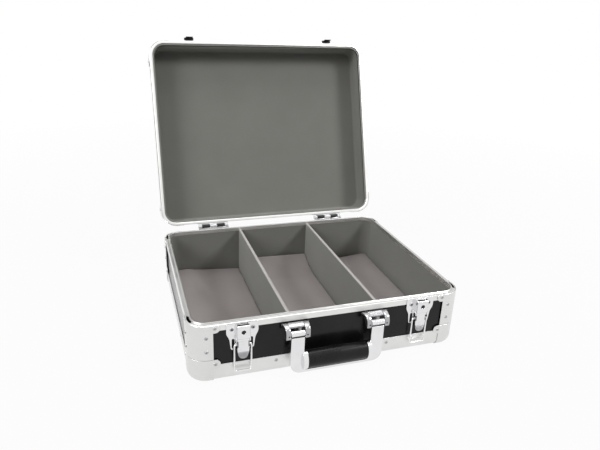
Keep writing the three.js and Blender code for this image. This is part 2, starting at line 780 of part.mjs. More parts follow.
/** A round wire along a path of straight runs and bends. */
function wire(corners, radius) {
  const path = new THREE.CurvePath();
  let start = corners[0].at;
  corners.slice(1, -1).forEach(({ at, bend }, index) => {
    const before = corners[index].at.clone().sub(at).normalize();
    const after = corners[index + 2].at.clone().sub(at).normalize();
    const bendStart = at.clone().addScaledVector(before, bend);
    const bendEnd = at.clone().addScaledVector(after, bend);
    path.add(new THREE.LineCurve3(start, bendStart));
    path.add(new THREE.QuadraticBezierCurve3(bendStart, at, bendEnd));
    start = bendEnd;
  });
  path.add(new THREE.LineCurve3(start, corners[corners.length - 1].at));
  const section = new THREE.Shape(arc([0, 0], radius, 0, 2 * Math.PI * (1 - 1 / wireSides), wireSides - 1));
  return toSolid(new THREE.ExtrudeGeometry(section, { steps: wireSteps, extrudePath: path }));
}

/** The wire bail, hanging from the lever's cheeks. */
function latchBail() {
  const at = (x, z) => new THREE.Vector3(x, bailPivotY, z);
  const end = leverHalf - leverCheekThickness;
  return wire([
    { at: at(-end, -bailDrop) },
    { at: at(-bailHalf, -bailDrop), bend: bailFootBend },
    { at: at(-bailHalf, -bailCrossDrop), bend: bailCornerBend },
    { at: at(bailHalf, -bailCrossDrop), bend: bailCornerBend },
    { at: at(bailHalf, -bailDrop), bend: bailFootBend },
    { at: at(end, -bailDrop) },
  ], bailWireRadius);
}

/** A catch on the lid: its plate, the hook for the bail and the nose that enters the lock. */
function lidCatch() {
  const outline = softened([
    [-catchHalf, catchRise, latchFillet], [catchHalf, catchRise, latchFillet],
    [catchHalf, catchTopRise, latchFillet], [-catchHalf, catchTopRise, latchFillet],
  ]);
  const plate = steppedPlate(outline, latchPlateThickness, 1);
  const bailLength = bailCrossDrop - bailDrop;
  const shelfTop = bailLength - bailDrop - partingGap - bailWireRadius - bailGap;
  const lipY = plateFace - catchHookDepth;
  const hook = [-catchHookHalf, catchHookHalf];
  const shelf = box(hook, [lipY, plateFace + latchPlateThickness / 2],
    [shelfTop - catchHookThickness, shelfTop]);
  const lip = box(hook, [lipY, lipY + catchHookThickness],
    [shelfTop - catchHookThickness, shelfTop + catchLipHeight]);
  const slotMiddle = housingFront + slotFrontWall + slotDepth / 2;
  const nose = box([-noseHalf, noseHalf], [slotMiddle - noseThickness / 2, slotMiddle + noseThickness / 2],
    [-partingGap - noseReach, shelfTop - catchHookThickness / 2]);
  const screws = [-1, 1].map((side) => (
    headOnFront([side * catchScrewOffset, plateFace, catchScrewRise])));
  return joined([plate, shelf, lip, nose, ...screws]);
}

/** A handle bracket: its plate with a tongue behind the arm, two ears and the hood between them. */
function handleBracket() {
  const face = -seatGap - bracketThickness;
  const pivotY = -handlePivotStandoff;
  const root = face + bracketThickness / 2;
  const outline = softened([
    [-bracketTongueHalf, -bracketBottomDrop, bracketFillet], [bracketTongueHalf, -bracketBottomDrop, bracketFillet],
    [bracketTongueHalf, -bracketBarDrop, 0], [bracketHalf, -bracketBarDrop, 0],
    [bracketHalf, -bracketTopDrop, 0], [-bracketHalf, -bracketTopDrop, 0],
    [-bracketHalf, -bracketBarDrop, 0], [-bracketTongueHalf, -bracketBarDrop, 0],
  ]);
  const plate = steppedPlate(outline, bracketThickness, -1);
  const aboutAxis = (offsets) => offsets.map(([out, up]) => (
    new THREE.Vector2(pivotY - out, up - handlePivotDrop)));
  const ear = [
    new THREE.Vector2(root, -bracketTopDrop), ...aboutAxis(earFront),
    ...aboutAxis(earBack), new THREE.Vector2(root, -bracketBarDrop),
  ];
  const taper = prism([
    new THREE.Vector2(-bracketHalf, 0), new THREE.Vector2(-bracketNoseHalf, pivotY),
    new THREE.Vector2(-bracketNoseHalf, 2 * pivotY), new THREE.Vector2(bracketNoseHalf, 2 * pivotY),
    new THREE.Vector2(bracketNoseHalf, pivotY), new THREE.Vector2(bracketHalf, 0),
  ], acrossZ, [-bracketBottomDrop, 0]);
  const ears = [-1, 1].map((side) => (
    prism(ear, acrossX, sideRange(side, bracketEarInner, bracketHalf)).intersect(taper)));
  const hoodFront = face - bracketHoodReach;
  const hood = prism([
    new THREE.Vector2(root, -bracketTopDrop),
    new THREE.Vector2(hoodFront, -bracketTopDrop - bracketHoodFall),
    new THREE.Vector2(hoodFront, -bracketTopDrop - bracketHoodFall - bracketHoodThickness),
    new THREE.Vector2(root, -bracketTopDrop - bracketHoodThickness),
  ], acrossX, [-bracketEarInner - overrun, bracketEarInner + overrun]);
  const screws = bracketScrewDrops.map((drop) => headOnFront([0, face, -drop]));
  const pinHole = bar([pivotY, -handlePivotDrop], handlePinRadius + pinGap, acrossX,
    [-bracketHalf, bracketHalf]);
  return joined([plate, ...ears, hood, ...screws]).subtract(pinHole);
}

/** The axle of one handle arm. */
function handlePin() {
  const half = bracketNoseHalf - handlePinInset;
  return bar([-handlePivotStandoff, -handlePivotDrop], handlePinRadius, acrossX, [-half, half]);
}

const gripCentreDrop = handleBarDrop - handleBarThickness - gripGap - gripHalfHeight;

/** The handle's frame: two arms with barrels, the bar under the grip and its end flanges. */
function handleFrame() {
  const outer = handleOffset + armHalf;
  const inner = handleOffset - armHalf;
  const barTop = handleBarDrop - handleBarThickness;
  const y = -handlePivotStandoff;
  const outline = softened([
    [-outer, -handlePivotDrop, 0], [-outer, -handleBarDrop, handleCornerRadius],
    [outer, -handleBarDrop, handleCornerRadius], [outer, -handlePivotDrop, 0],
    [inner, -handlePivotDrop, 0], [inner, -barTop, handleInnerRadius],
    [-inner, -barTop, handleInnerRadius], [-inner, -handlePivotDrop, 0],
  ]);
  const arms = prism(outline, acrossY, [y - armThickness / 2, y + armThickness / 2]);
  const parts = [-1, 1].flatMap((side) => {
    const armRange = sideRange(side, inner, outer);
    const flangeRange = sideRange(side, gripHalfLength + gripGap, inner + handleInnerRadius / 2);
    return [
      bar([y, -handlePivotDrop], armBarrelRadius, acrossX, armRange),
      prism(arc([y, -gripCentreDrop], gripFlangeDepth, 0, 2 * Math.PI * (1 - 1 / ovalSteps),
        ovalSteps - 1, gripFlangeHeight), acrossX, flangeRange),
    ];
  });
  const pinHole = bar([y, -handlePivotDrop], handlePinRadius + pinGap, acrossX, [-caseWidth, caseWidth]);
  return joined([arms, ...parts]).subtract(pinHole);
}

/** The oval grip between the arms. */
function handleGrip() {
  const outline = arc([-handlePivotStandoff, -gripCentreDrop], gripHalfDepth,
    0, 2 * Math.PI * (1 - 1 / ovalSteps), ovalSteps - 1, gripHalfHeight);
  return prism(outline, acrossX, [-gripHalfLength, gripHalfLength]);
}

/** A hinge leaf about its own axis; up is 1 for the lid's leaf and -1 for the base's. */
function hingeLeaf(up, knuckles) {
  const back = hingeStandoff - seatGap;
  const leafY = [back - hingeLeafThickness, back];
  const webEdge = hingeKnuckleRadius - hingeLeafThickness;
  const trimEdge = up > 0 ? rimFlange + partingGap - hingeRise : -(rimFlange + hingeRise);
  const plateZ = sideRange(up, webEdge, webEdge + hingeLeafLength);
  const plate = box([-hingeHalf, hingeHalf], leafY, plateZ);
  const padY = [leafY[0], hingeStandoff + boardInset - trimInset - seatGap];
  const padZ = up > 0 ? [trimEdge + seatGap, plateZ[1]] : [plateZ[0], trimEdge - seatGap];
  const pad = box([-hingeHalf, hingeHalf], padY, padZ);
  const curls = knuckles.flatMap((range) => [
    bar([0, 0], hingeKnuckleRadius, acrossX, range),
    box(range, [0, back], sideRange(up, webEdge, hingeKnuckleRadius)),
  ]);
  const screwZ = up * (webEdge + hingeLeafLength - hingeScrewInset);
  const screws = [-1, 1].map((side) => (
    headOnFront([side * hingeScrewOffset, leafY[0], screwZ])));
  return joined([plate, pad, ...curls, ...screws]);
}

/** The hole through a hinge's knuckles. */
function hingeBore() {
  return bar([0, 0], hingePinRadius + pinGap, acrossX, [-hingeHalf - overrun, hingeHalf + overrun]);
}

/** Ranges along a hinge of its base's knuckles and of its lid's. */
function knuckleRanges() {
  const endInner = hingeHalf - hingeEndWidth;
  return {
    base: [[-hingeHalf, -endInner], [-hingeCentreHalf, hingeCentreHalf], [endInner, hingeHalf]],
    lid: [-1, 1].map((side) => (
      sideRange(side, hingeCentreHalf + hingeKnuckleGap, endInner - hingeKnuckleGap))),
  };
}

/** The stop of a lid leaf: a tab that meets the base's leaf when the lid stands open. */
function hingeStop(range) {
  const wallY = hingeStandoff - seatGap - hingeLeafThickness - hingeStopGap;
  const openAngle = Math.asin((wallY - hingeLeafThickness / 2) / hingeStopLength);
  const shutAngle = openAngle - lidOpenAngle;
  const length = [-hingeStopLength, -hingeKnuckleRadius / 2 - hingePinRadius / 2];
  const geometry = new THREE.BoxGeometry(
    range[1] - range[0], hingeLeafThickness, length[1] - length[0]);
  geometry.translate((range[0] + range[1]) / 2, 0, (length[0] + length[1]) / 2);
  geometry.rotateX(shutAngle);
  return toSolid(geometry);
}

/** Everything that stays with the base, apart from its fittings. */
function addBase(group) {
  const baseBlock = roundBelow(boardInset, boardInset, partingHeight);
  const boardHeights = [bottomBoardTop + seatGap, partingHeight - rimWeb - seatGap];
  group.add(piece('bottom_panel', bottomPanel(), finishes.laminate));
  walls.forEach((wall) => {
    group.add(piece(`${wall.name}_panel`, wallBoard(wall, boardHeights, baseBlock), finishes.laminate));
    group.add(piece(`bottom_edge_${wall.name}`, bottomEdge(wall), finishes.trim));
  });
  group.add(piece('base_rim', baseRim(), finishes.trim));
  cornerSigns.forEach((corner) => {
    group.add(piece(`corner_plate_${corner.name}`, cornerPlate(corner), finishes.cap));
    group.add(piece(`ball_corner_${corner.name}`, ballCorner(corner), finishes.cap));
  });
  group.add(piece('base_lining', baseLining(), finishes.lining));
  group.add(piece('divider_left', divider(-1), finishes.lining));
  group.add(piece('divider_right', divider(1), finishes.lining));
  ['left', 'middle', 'right'].forEach((name, index) => {
    group.add(piece(`floor_pad_${name}`, floorPad(index - 1), finishes.pad));
  });
}

/** One latch about the middle of its plate's top edge, at the parting. */
function latch(name) {
  const group = new THREE.Group();
  group.add(piece(`latch_plate_${name}`, latchPlate(), finishes.chrome));
  group.add(piece(`lock_cylinder_${name}`, lockCylinder(), finishes.plug));
  group.add(piece(`latch_lever_${name}`, latchLever(), finishes.chrome));
  group.add(piece(`latch_pin_${name}`, latchPin(), finishes.steel));
  group.add(piece(`latch_bail_${name}`, latchBail(), finishes.chrome));
  return group;
}

/** The carrying handle, its brackets and their pins. */
function handle() {
  const group = new THREE.Group();
  [['left', -1], ['right', 1]].forEach(([name, side]) => {
    const bracket = piece(`handle_bracket_${name}`, handleBracket(), finishes.chrome);
    const pin = piece(`handle_pin_${name}`, handlePin(), finishes.steel);
    bracket.position.x = side * handleOffset;
    pin.position.x = side * handleOffset;
    group.add(bracket, pin);
  });
  group.add(piece('handle_frame', handleFrame(), finishes.chrome));
  group.add(piece('handle_grip', handleGrip(), finishes.grip));
  return group;
}

/** The lid, drawn shut in the frame of the case. */
function lid() {
  const group = new THREE.Group();
  const lidBlock = roundAbove(boardInset, lidBase, lidTop - boardInset);
  const boardTop = lidTop - boardInset - boardThickness - seatGap;
  const boardHeights = [lidBase + lidRimWeb + seatGap, boardTop];
  group.add(piece('lid_top_panel', lidTopPanel(), finishes.laminate));
  walls.forEach((wall) => {
    group.add(piece(`lid_${wall.name}_panel`, wallBoard(wall, boardHeights, lidBlock), finishes.laminate));
  });
  group.add(piece('lid_rim', lidRim(), finishes.trim));
  group.add(piece('lid_edge_band', lidEdgeBand(), finishes.trim));
  cornerSigns.forEach((corner) => {
    group.add(piece(`lid_corner_${corner.name}`, lidCorner(corner), finishes.cap));
  });
  group.add(piece('lid_lining', lidLining(), finishes.lining));
  [['left', -1], ['right', 1]].forEach(([name, side]) => {
    const hook = piece(`lid_catch_${name}`, lidCatch(), finishes.chrome);
    hook.position.set(side * latchOffset, front, lidBase);
    group.add(hook);
  });
  return group;
}

/** The whole case, with its lid open. */
function discCase() {
  const whole = new THREE.Group();
  addBase(whole);

  const lidPivot = new THREE.Group();
  lidPivot.position.set(0, hingeAxisY, hingeAxisZ);
  lidPivot.rotation.x = -lidOpenAngle;
  const shutLid = lid();
  shutLid.position.set(0, -hingeAxisY, -hingeAxisZ);
  lidPivot.add(shutLid);
  whole.add(lidPivot);

  const knuckles = knuckleRanges();
  [['left', -1], ['right', 1]].forEach(([name, side]) => {
    const fittings = latch(name);
    fittings.position.set(side * latchOffset, front, partingHeight);
    whole.add(fittings);

    const baseLeaf = hingeLeaf(-1, knuckles.base).subtract(hingeBore());
    const stops = knuckles.lid.map(hingeStop);
    const lidLeaf = joined([hingeLeaf(1, knuckles.lid), ...stops]).subtract(hingeBore());
    const hinge = new THREE.Group();
    hinge.position.set(side * hingeOffset, hingeAxisY, hingeAxisZ);
    hinge.rotation.z = Math.PI;
    hinge.add(piece(`hinge_base_leaf_${name}`, baseLeaf, finishes.steel));
    hinge.add(piece(`hinge_pin_${name}`,
      bar([0, 0], hingePinRadius, acrossX, [-hingeHalf, hingeHalf]), finishes.steel));
    whole.add(hinge);

    const lidHinge = new THREE.Group();
    lidHinge.position.set(side * hingeOffset, hingeAxisY, hingeAxisZ);
    lidHinge.rotation.z = Math.PI;
    lidHinge.add(piece(`hinge_lid_leaf_${name}`, lidLeaf, finishes.steel));
    shutLid.add(lidHinge);
  });

  const carrying = handle();
  carrying.position.set(0, front, partingHeight);
  whole.add(carrying);
  return whole;
}

export default discCase();
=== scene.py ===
"""An aluminium-framed disc case with its lid open.

Lengths are drawn in millimetres and stored in metres. +X is to the right, +Y to the rear and
+Z up, from the centre of the underside. Pieces of the lid are drawn shut and then turned open.
"""

import logging
import math
from collections.abc import Callable, Iterable, Sequence
from dataclasses import dataclass, field, replace
from enum import Enum
from functools import cache

import bmesh
import bpy
from mathutils import Matrix, Vector, noise


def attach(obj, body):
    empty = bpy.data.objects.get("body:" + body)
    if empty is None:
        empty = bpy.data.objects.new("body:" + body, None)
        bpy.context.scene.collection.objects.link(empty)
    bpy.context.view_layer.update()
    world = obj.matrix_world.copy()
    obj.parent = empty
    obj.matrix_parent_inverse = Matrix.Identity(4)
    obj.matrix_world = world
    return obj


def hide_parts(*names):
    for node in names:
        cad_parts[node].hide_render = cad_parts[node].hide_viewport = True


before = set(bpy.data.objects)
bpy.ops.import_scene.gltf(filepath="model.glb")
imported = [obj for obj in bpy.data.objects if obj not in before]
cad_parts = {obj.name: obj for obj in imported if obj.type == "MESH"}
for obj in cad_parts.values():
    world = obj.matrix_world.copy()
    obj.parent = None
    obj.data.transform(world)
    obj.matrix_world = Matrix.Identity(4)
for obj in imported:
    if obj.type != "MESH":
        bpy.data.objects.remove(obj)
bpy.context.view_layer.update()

MM = 0.001
SHARP = math.radians(32.0)
CREASE = math.radians(20.0)
QUARTER = math.pi / 2
TINY = 1e-4
WHITE = (1.0, 1.0, 1.0, 1.0)
# How high the drawn lines of the metals stand, in metres.
COARSE, FINE = 0.000012, 0.000006
log = logging.getLogger("disc_case")

Socket, Node, Tree = bpy.types.NodeSocket, bpy.types.Node, bpy.types.NodeTree
Edge, Vert = bmesh.types.BMEdge, bmesh.types.BMVert
Pair, Triple = tuple[float, float], tuple[float, float, float]


class Run(Enum):
    """Which way the drawn lines of a metal strip run: the stretch and the UV map that is read."""

    ALONG_X = ((0.012, 1.0, 1.0), "")
    ALONG_Y = ((1.0, 0.012, 1.0), "")
    ALONG_STRIP = ((0.012, 1.0, 1.0), "Run")


class Side(Enum):
    """Left and right, as seen from the latches."""

    LEFT = -1
    RIGHT = 1

    @property
    def word(self) -> str:
        """The side as it stands in the names of pieces."""
        return self.name.lower()


@dataclass(frozen=True)
class Case:
    """Sizes that several pieces of the case share, in millimetres."""

    half_width: float = 230.0
    half_depth: float = 186.0
    parting: float = 102.0
    lid_base: float = 102.3
    lid_top: float = 160.0
    corner: float = 30.0
    edge: float = 15.0
    cap: float = 1.2
    gauge: float = 1.4
    rim_steps: int = 16
    ring_steps: int = 14
    trim_inset: float = 1.45
    trim_inner: float = 2.85
    lining_inset: float = 8.15
    inner_inset: float = 9.85
    rim_inner: float = 9.55
    rim_flange: float = 10.0
    floor: float = 6.25
    hinge_y: float = 191.4
    hinge_z: float = 105.7
    open_angle: float = math.radians(108.0)

    @property
    def reach_x(self) -> float:
        """Half of the straight run of the front and rear."""
        return self.half_width - self.corner

    @property
    def reach_y(self) -> float:
        """Half of the straight run of the left and right."""
        return self.half_depth - self.corner

    @property
    def front(self) -> float:
        """The Y of the front face of the trim."""
        return self.trim_inset - self.half_depth

    def inset(self, at: Vector) -> float:
        """How far a point lies inside the case's rounded outline."""
        over_x, over_y = abs(at.x) - self.reach_x, abs(at.y) - self.reach_y
        past = math.hypot(max(over_x, 0.0), max(over_y, 0.0))
        return self.corner - past - min(max(over_x, over_y), 0.0)

    def opened(self) -> Matrix:
        """The turn that takes the shut lid to its open rest."""
        axis = Vector((0.0, self.hinge_y, self.hinge_z))
        turn = Matrix.Rotation(-self.open_angle, 4, "X")
        return Matrix.Translation(axis) @ turn @ Matrix.Translation(-axis)


CASE = Case()
CORNERS = (("front_left", -1, -1), ("front_right", 1, -1), ("rear_left", -1, 1),
           ("rear_right", 1, 1))


# Node groups that several finishes share


NOISE, CELLS = "ShaderNodeTexNoise", "ShaderNodeTexVoronoi"


class Wiring:
    """Adds nodes to a tree and links them."""

    def __init__(self, tree: Tree) -> None:
        """Keeps the tree that the nodes go into."""
        self.tree = tree

    @staticmethod
    def put(node: Node, values: dict) -> None:
        """Sets input values of a node by name or number."""
        for key, value in values.items():
            node.inputs[key].default_value = value

    def node(self, kind: str, values: dict | None = None, **settings: object) -> Node:
        """A new node with its properties and input values set.

        Args:
            kind: the node's type name.
            values: default values of its inputs by name or number.
            settings: the node's own properties.

        Returns:
            The node.
        """
        made = self.tree.nodes.new(kind)
        for key, value in settings.items():
            setattr(made, key, value)
        self.put(made, values or {})
        return made

    def link(self, source: Socket, target: Socket) -> None:
        """Joins an output to an input."""
        self.tree.links.new(source, target)

    def ramp(self, source: Socket, low: float, high: float,
             to_low: float = 0.0, to_high: float = 1.0) -> Socket:
        """A value taken from one range to another, held at both ends."""
        made = self.node("ShaderNodeMapRange", {
            "From Min": low, "From Max": high, "To Min": to_low, "To Max": to_high})
        self.link(source, made.inputs["Value"])
        return made.outputs["Result"]

    def maths(self, operation: str, first: Socket,
              second: Socket | float) -> Socket:
        """One sum on two values."""
        made = self.node("ShaderNodeMath", operation=operation)
        self.link(first, made.inputs[0])
        if isinstance(second, float):
            made.inputs[1].default_value = second
        else:
            self.link(second, made.inputs[1])
        return made.outputs[0]

    def mix(self, factor: Socket, first: Triple,
            second: Triple) -> Socket:
        """A blend of two fixed colours by a mask."""
        made = self.node("ShaderNodeMix", {6: (*first, 1.0), 7: (*second, 1.0)}, data_type="RGBA")
        self.link(factor, made.inputs[0])
        return made.outputs[2]

    def seen_directly(self) -> Socket:
        """A mask of the camera, glossy and transmission rays, which see the background white."""
        path = self.node("ShaderNodeLightPath")
        camera, glossy, through = (path.outputs[f"Is {kind} Ray"]
                                   for kind in ("Camera", "Glossy", "Transmission"))
        return self.maths("MAXIMUM", self.maths("MAXIMUM", camera, glossy), through)


class Group(Wiring):
    """A shader group in the making, which reads a vector and numbers and gives numbers."""

    def __init__(self, name: str, inputs: dict[str, float], *outputs: str) -> None:
        """Starts the group with its sockets.

        Args:
            name: the group's name.
            inputs: name and default of each number that it reads.
            outputs: name of each number that it gives.
        """
        super().__init__(bpy.data.node_groups.new(name, "ShaderNodeTree"))
        sockets = self.tree.interface
        sockets.new_socket("Vector", in_out="INPUT", socket_type="NodeSocketVector")
        for label, value in inputs.items():
            made = sockets.new_socket(label, in_out="INPUT", socket_type="NodeSocketFloat")
            made.default_value = value
        for label in outputs:
            sockets.new_socket(label, in_out="OUTPUT", socket_type="NodeSocketFloat")
        self.start = self.node("NodeGroupInput")
        self.end = self.node("NodeGroupOutput")

    def texture(self, kind: str, scale: str, values: dict,
                vector: Socket | None = None, **settings: object) -> Node:
        """A pattern that reads one of the group's scales.

        Args:
            kind: the node's type name.
            scale: the name of the scale.
            values: default values of its other inputs.
            vector: the place that it reads, or None for the group's own.
            settings: the node's own properties.

        Returns:
            The node.
        """
        made = self.node(kind, values, **settings)
        place = self.start.outputs["Vector"] if vector is None else vector
        self.link(place, made.inputs["Vector"])
        self.link(self.start.outputs[scale], made.inputs["Scale"])
        return made

    def give(self, **sources: Socket) -> Tree:
        """Sends named values out of the group, which is then complete."""
        for label, source in sources.items():
            self.link(source, self.end.inputs[label])
        return self.tree


class Groups:
    """The effects that more than one finish uses, each built once."""

    @staticmethod
    @cache
    def grain() -> Tree:
        """Fine even grain: a height and a slow mottle."""
        group = Group("Fine grain", {"Scale": 400.0, "Mottle scale": 9.0}, "Height", "Mottle")
        fine = group.texture(NOISE, "Scale", {"Detail": 3.0, "Roughness": 0.6})
        slow = group.texture(NOISE, "Mottle scale", {"Detail": 4.0, "Roughness": 0.55})
        return group.give(Height=fine.outputs["Fac"],
                          Mottle=group.ramp(slow.outputs["Fac"], 0.32, 0.68))

    @staticmethod
    @cache
    def drawn() -> Tree:
        """Lines of drawn or rolled metal along the first axis of a stretched vector."""
        group = Group("Drawn lines", {"Scale": 2600.0}, "Lines")
        texture = group.texture(NOISE, "Scale", {"Detail": 5.0, "Roughness": 0.7})
        return group.give(Lines=group.ramp(texture.outputs["Fac"], 0.3, 0.7))

    @staticmethod
    @cache
    def handling() -> Tree:
        """Marks of handling: soft smudges and thin scratches."""
        group = Group("Handling marks", {"Smudge scale": 22.0, "Scratch scale": 38.0},
                      "Smudges", "Scratches")
        cloud = group.texture(NOISE, "Smudge scale",
                              {"Detail": 6.0, "Roughness": 0.62, "Distortion": 0.6})
        turned = group.node("ShaderNodeMapping", {
            "Rotation": (0.3, 0.9, 0.7), "Scale": (1.0, 0.06, 1.0)})
        group.link(group.start.outputs["Vector"], turned.inputs["Vector"])
        thin = group.texture(CELLS, "Scratch scale", {"Randomness": 1.0},
                             turned.outputs["Vector"], feature="DISTANCE_TO_EDGE")
        line = group.ramp(thin.outputs["Distance"], 0.0, 0.012, 1.0, 0.0)
        rare = group.ramp(cloud.outputs["Fac"], 0.52, 0.6)
        return group.give(Smudges=group.ramp(cloud.outputs["Fac"], 0.36, 0.66),
                          Scratches=group.maths("MULTIPLY", line, rare))

    @staticmethod
    @cache
    def nap() -> Tree:
        """Short nap of felt: matted fibres and brushed patches."""
        group = Group("Felt nap", {"Fibre scale": 900.0, "Patch scale": 14.0},
                      "Fibres", "Patches")
        fibre = group.texture(NOISE, "Fibre scale",
                              {"Detail": 4.0, "Roughness": 0.75, "Distortion": 1.4})
        thread = group.texture(CELLS, "Fibre scale", {"Randomness": 1.0})
        patch = group.texture(NOISE, "Patch scale", {"Detail": 3.0, "Roughness": 0.5})
        half = group.maths("MULTIPLY", thread.outputs["Distance"], 0.5)
        return group.give(Fibres=group.maths("ADD", fibre.outputs["Fac"], half),
                          Patches=group.ramp(patch.outputs["Fac"], 0.3, 0.7))


# Finishes


@dataclass(frozen=True)
class Finish:
    """What every finish has: a name, a colour and a roughness."""

    name: str
    colour: Triple
    roughness: float

    def material(self) -> bpy.types.Material:
        """The finish as a material, made the first time it is asked for."""
        found = bpy.data.materials.get(self.name)
        if found is not None:
            return found
        made = bpy.data.materials.new(self.name)
        made.use_nodes = True
        made.diffuse_color = (*self.colour, 1.0)
        shader = made.node_tree.nodes["Principled BSDF"]
        Wiring.put(shader, {"Base Color": (*self.colour, 1.0), "Roughness": self.roughness})
        self.wire(Wiring(made.node_tree), shader)
        return made

    def wire(self, wiring: Wiring, shader: Node) -> None:
        """Adds this finish's own nodes. The plain finish has none."""

    @staticmethod
    def place(wiring: Wiring, stretch: Sequence[float] = (1.0, 1.0, 1.0),
              layer: str = "") -> Socket:
        """The place on the piece that a pattern reads.

        Args:
            wiring: the material's tree.
            stretch: how the pattern is scaled along each axis.
            layer: a UV map to read in place of the piece's own axes.

        Returns:
            The vector socket.
        """
        if layer:
            source = wiring.node("ShaderNodeUVMap", uv_map=layer).outputs["UV"]
        else:
            source = wiring.node("ShaderNodeTexCoord").outputs["Object"]
        mapping = wiring.node("ShaderNodeMapping", {"Scale": tuple(stretch)})
        wiring.link(source, mapping.inputs["Vector"])
        return mapping.outputs["Vector"]

    @classmethod
    def use(cls, wiring: Wiring, group: Tree, *lie: object,
            **values: float) -> Node:
        """A shared group placed in a material.

        Args:
            wiring: the material's tree.
            group: the shared group.
            lie: stretch and UV map of its pattern, as place takes them.
            values: its own values by name.

        Returns:
            The node.
        """
        node = wiring.node("ShaderNodeGroup", node_tree=group)
        wiring.link(cls.place(wiring, *lie), node.inputs["Vector"])
        wiring.put(node, {key.replace("_", " "): value for key, value in values.items()})
        return node

    @staticmethod
    def relief(wiring: Wiring, shader: Node, height: Socket,
               distance: float) -> None:
        """A bump from a height, in metres."""
        bump = wiring.node("ShaderNodeBump", {"Distance": distance, "Strength": 1.0})
        wiring.link(height, bump.inputs["Height"])
        wiring.link(bump.outputs["Normal"], shader.inputs["Normal"])


@dataclass(frozen=True)
class Metal(Finish):
    """Bare or plated metal with drawn lines, smudges and fine scratches."""

    dull: Triple = (0.7, 0.7, 0.7)
    spread: float = 0.12
    run: Run | None = None
    lines: float = 0.00001
    smudge_scale: float = 22.0
    scratches: float = 0.15

    def wire(self, wiring: Wiring, shader: Node) -> None:
        """Roughness and colour vary with handling, and the relief follows the drawn lines."""
        wiring.put(shader, {"Metallic": 1.0})
        marks = self.use(wiring, Groups.handling(), Smudge_scale=self.smudge_scale)
        smudges, scratches = marks.outputs["Smudges"], marks.outputs["Scratches"]
        worn = wiring.maths("MAXIMUM", wiring.maths("MULTIPLY", smudges, 0.6),
                            wiring.maths("MULTIPLY", scratches, self.scratches))
        wiring.link(wiring.mix(worn, self.colour, self.dull), shader.inputs["Base Color"])
        rough = wiring.ramp(smudges, 0.0, 1.0, self.roughness - self.spread / 2,
                            self.roughness + self.spread / 2)
        if self.run is None:
            height = self.use(wiring, Groups.grain(), Scale=1500.0).outputs["Height"]
        else:
            height = self.use(wiring, Groups.drawn(), *self.run.value).outputs["Lines"]
            rough = wiring.maths("ADD", rough, wiring.maths("MULTIPLY", height, 0.08))
        wiring.link(rough, shader.inputs["Roughness"])
        self.relief(wiring, shader, height, self.lines)


@dataclass(frozen=True)
class Laminate(Finish):
    """Smooth black laminate with a faint orange peel and dust."""

    dust: Triple = (0.014, 0.014, 0.015)
    shine: float = 0.25

    def wire(self, wiring: Wiring, shader: Node) -> None:
        """A fine pebble in the relief, and a little dust in colour and gloss."""
        wiring.put(shader, {"Specular IOR Level": self.shine})
        grain = self.use(wiring, Groups.grain(), Scale=1100.0, Mottle_scale=16.0)
        mottle = grain.outputs["Mottle"]
        wiring.link(wiring.mix(mottle, self.colour, self.dust), shader.inputs["Base Color"])
        wiring.link(wiring.ramp(mottle, 0.0, 1.0, self.roughness - 0.03, self.roughness + 0.05),
                    shader.inputs["Roughness"])
        self.relief(wiring, shader, grain.outputs["Height"], 0.00003)


@dataclass(frozen=True)
class Felt(Finish):
    """Short napped felt over board."""

    shade: Triple = (0.15, 0.15, 0.14)
    fibre_scale: float = 900.0
    patch_scale: float = 14.0
    depth: float = 0.00025

    def wire(self, wiring: Wiring, shader: Node) -> None:
        """Fibres and patches in the colour, fibres in the relief, and a soft sheen."""
        wiring.put(shader, {
            "Specular IOR Level": 0.15, "Sheen Weight": 0.25, "Sheen Roughness": 0.6})
        nap = self.use(wiring, Groups.nap(), Fibre_scale=self.fibre_scale,
                       Patch_scale=self.patch_scale)
        mask = wiring.maths("ADD", wiring.maths("MULTIPLY", nap.outputs["Patches"], 0.45),
                            wiring.ramp(nap.outputs["Fibres"], 0.4, 1.1, 0.0, 0.55))
        wiring.link(wiring.mix(mask, self.shade, self.colour), shader.inputs["Base Color"])
        self.relief(wiring, shader, nap.outputs["Fibres"], self.depth)


@dataclass(frozen=True)
class Moulded(Finish):
    """Moulded black plastic, half glossy from use."""

    scuffed: Triple = (0.013, 0.013, 0.014)
    shine: float = 0.22

    def wire(self, wiring: Wiring, shader: Node) -> None:
        """A faint moulded grain, and hands' marks in the gloss."""
        wiring.put(shader, {"Specular IOR Level": self.shine})
        marks = self.use(wiring, Groups.handling(), Smudge_scale=30.0)
        grain = self.use(wiring, Groups.grain(), Scale=900.0)
        wiring.link(wiring.mix(marks.outputs["Smudges"], self.colour, self.scuffed),
                    shader.inputs["Base Color"])
        wiring.link(wiring.ramp(marks.outputs["Smudges"], 0.0, 1.0, self.roughness - 0.06,
                                self.roughness + 0.08), shader.inputs["Roughness"])
        self.relief(wiring, shader, grain.outputs["Height"], 0.00004)


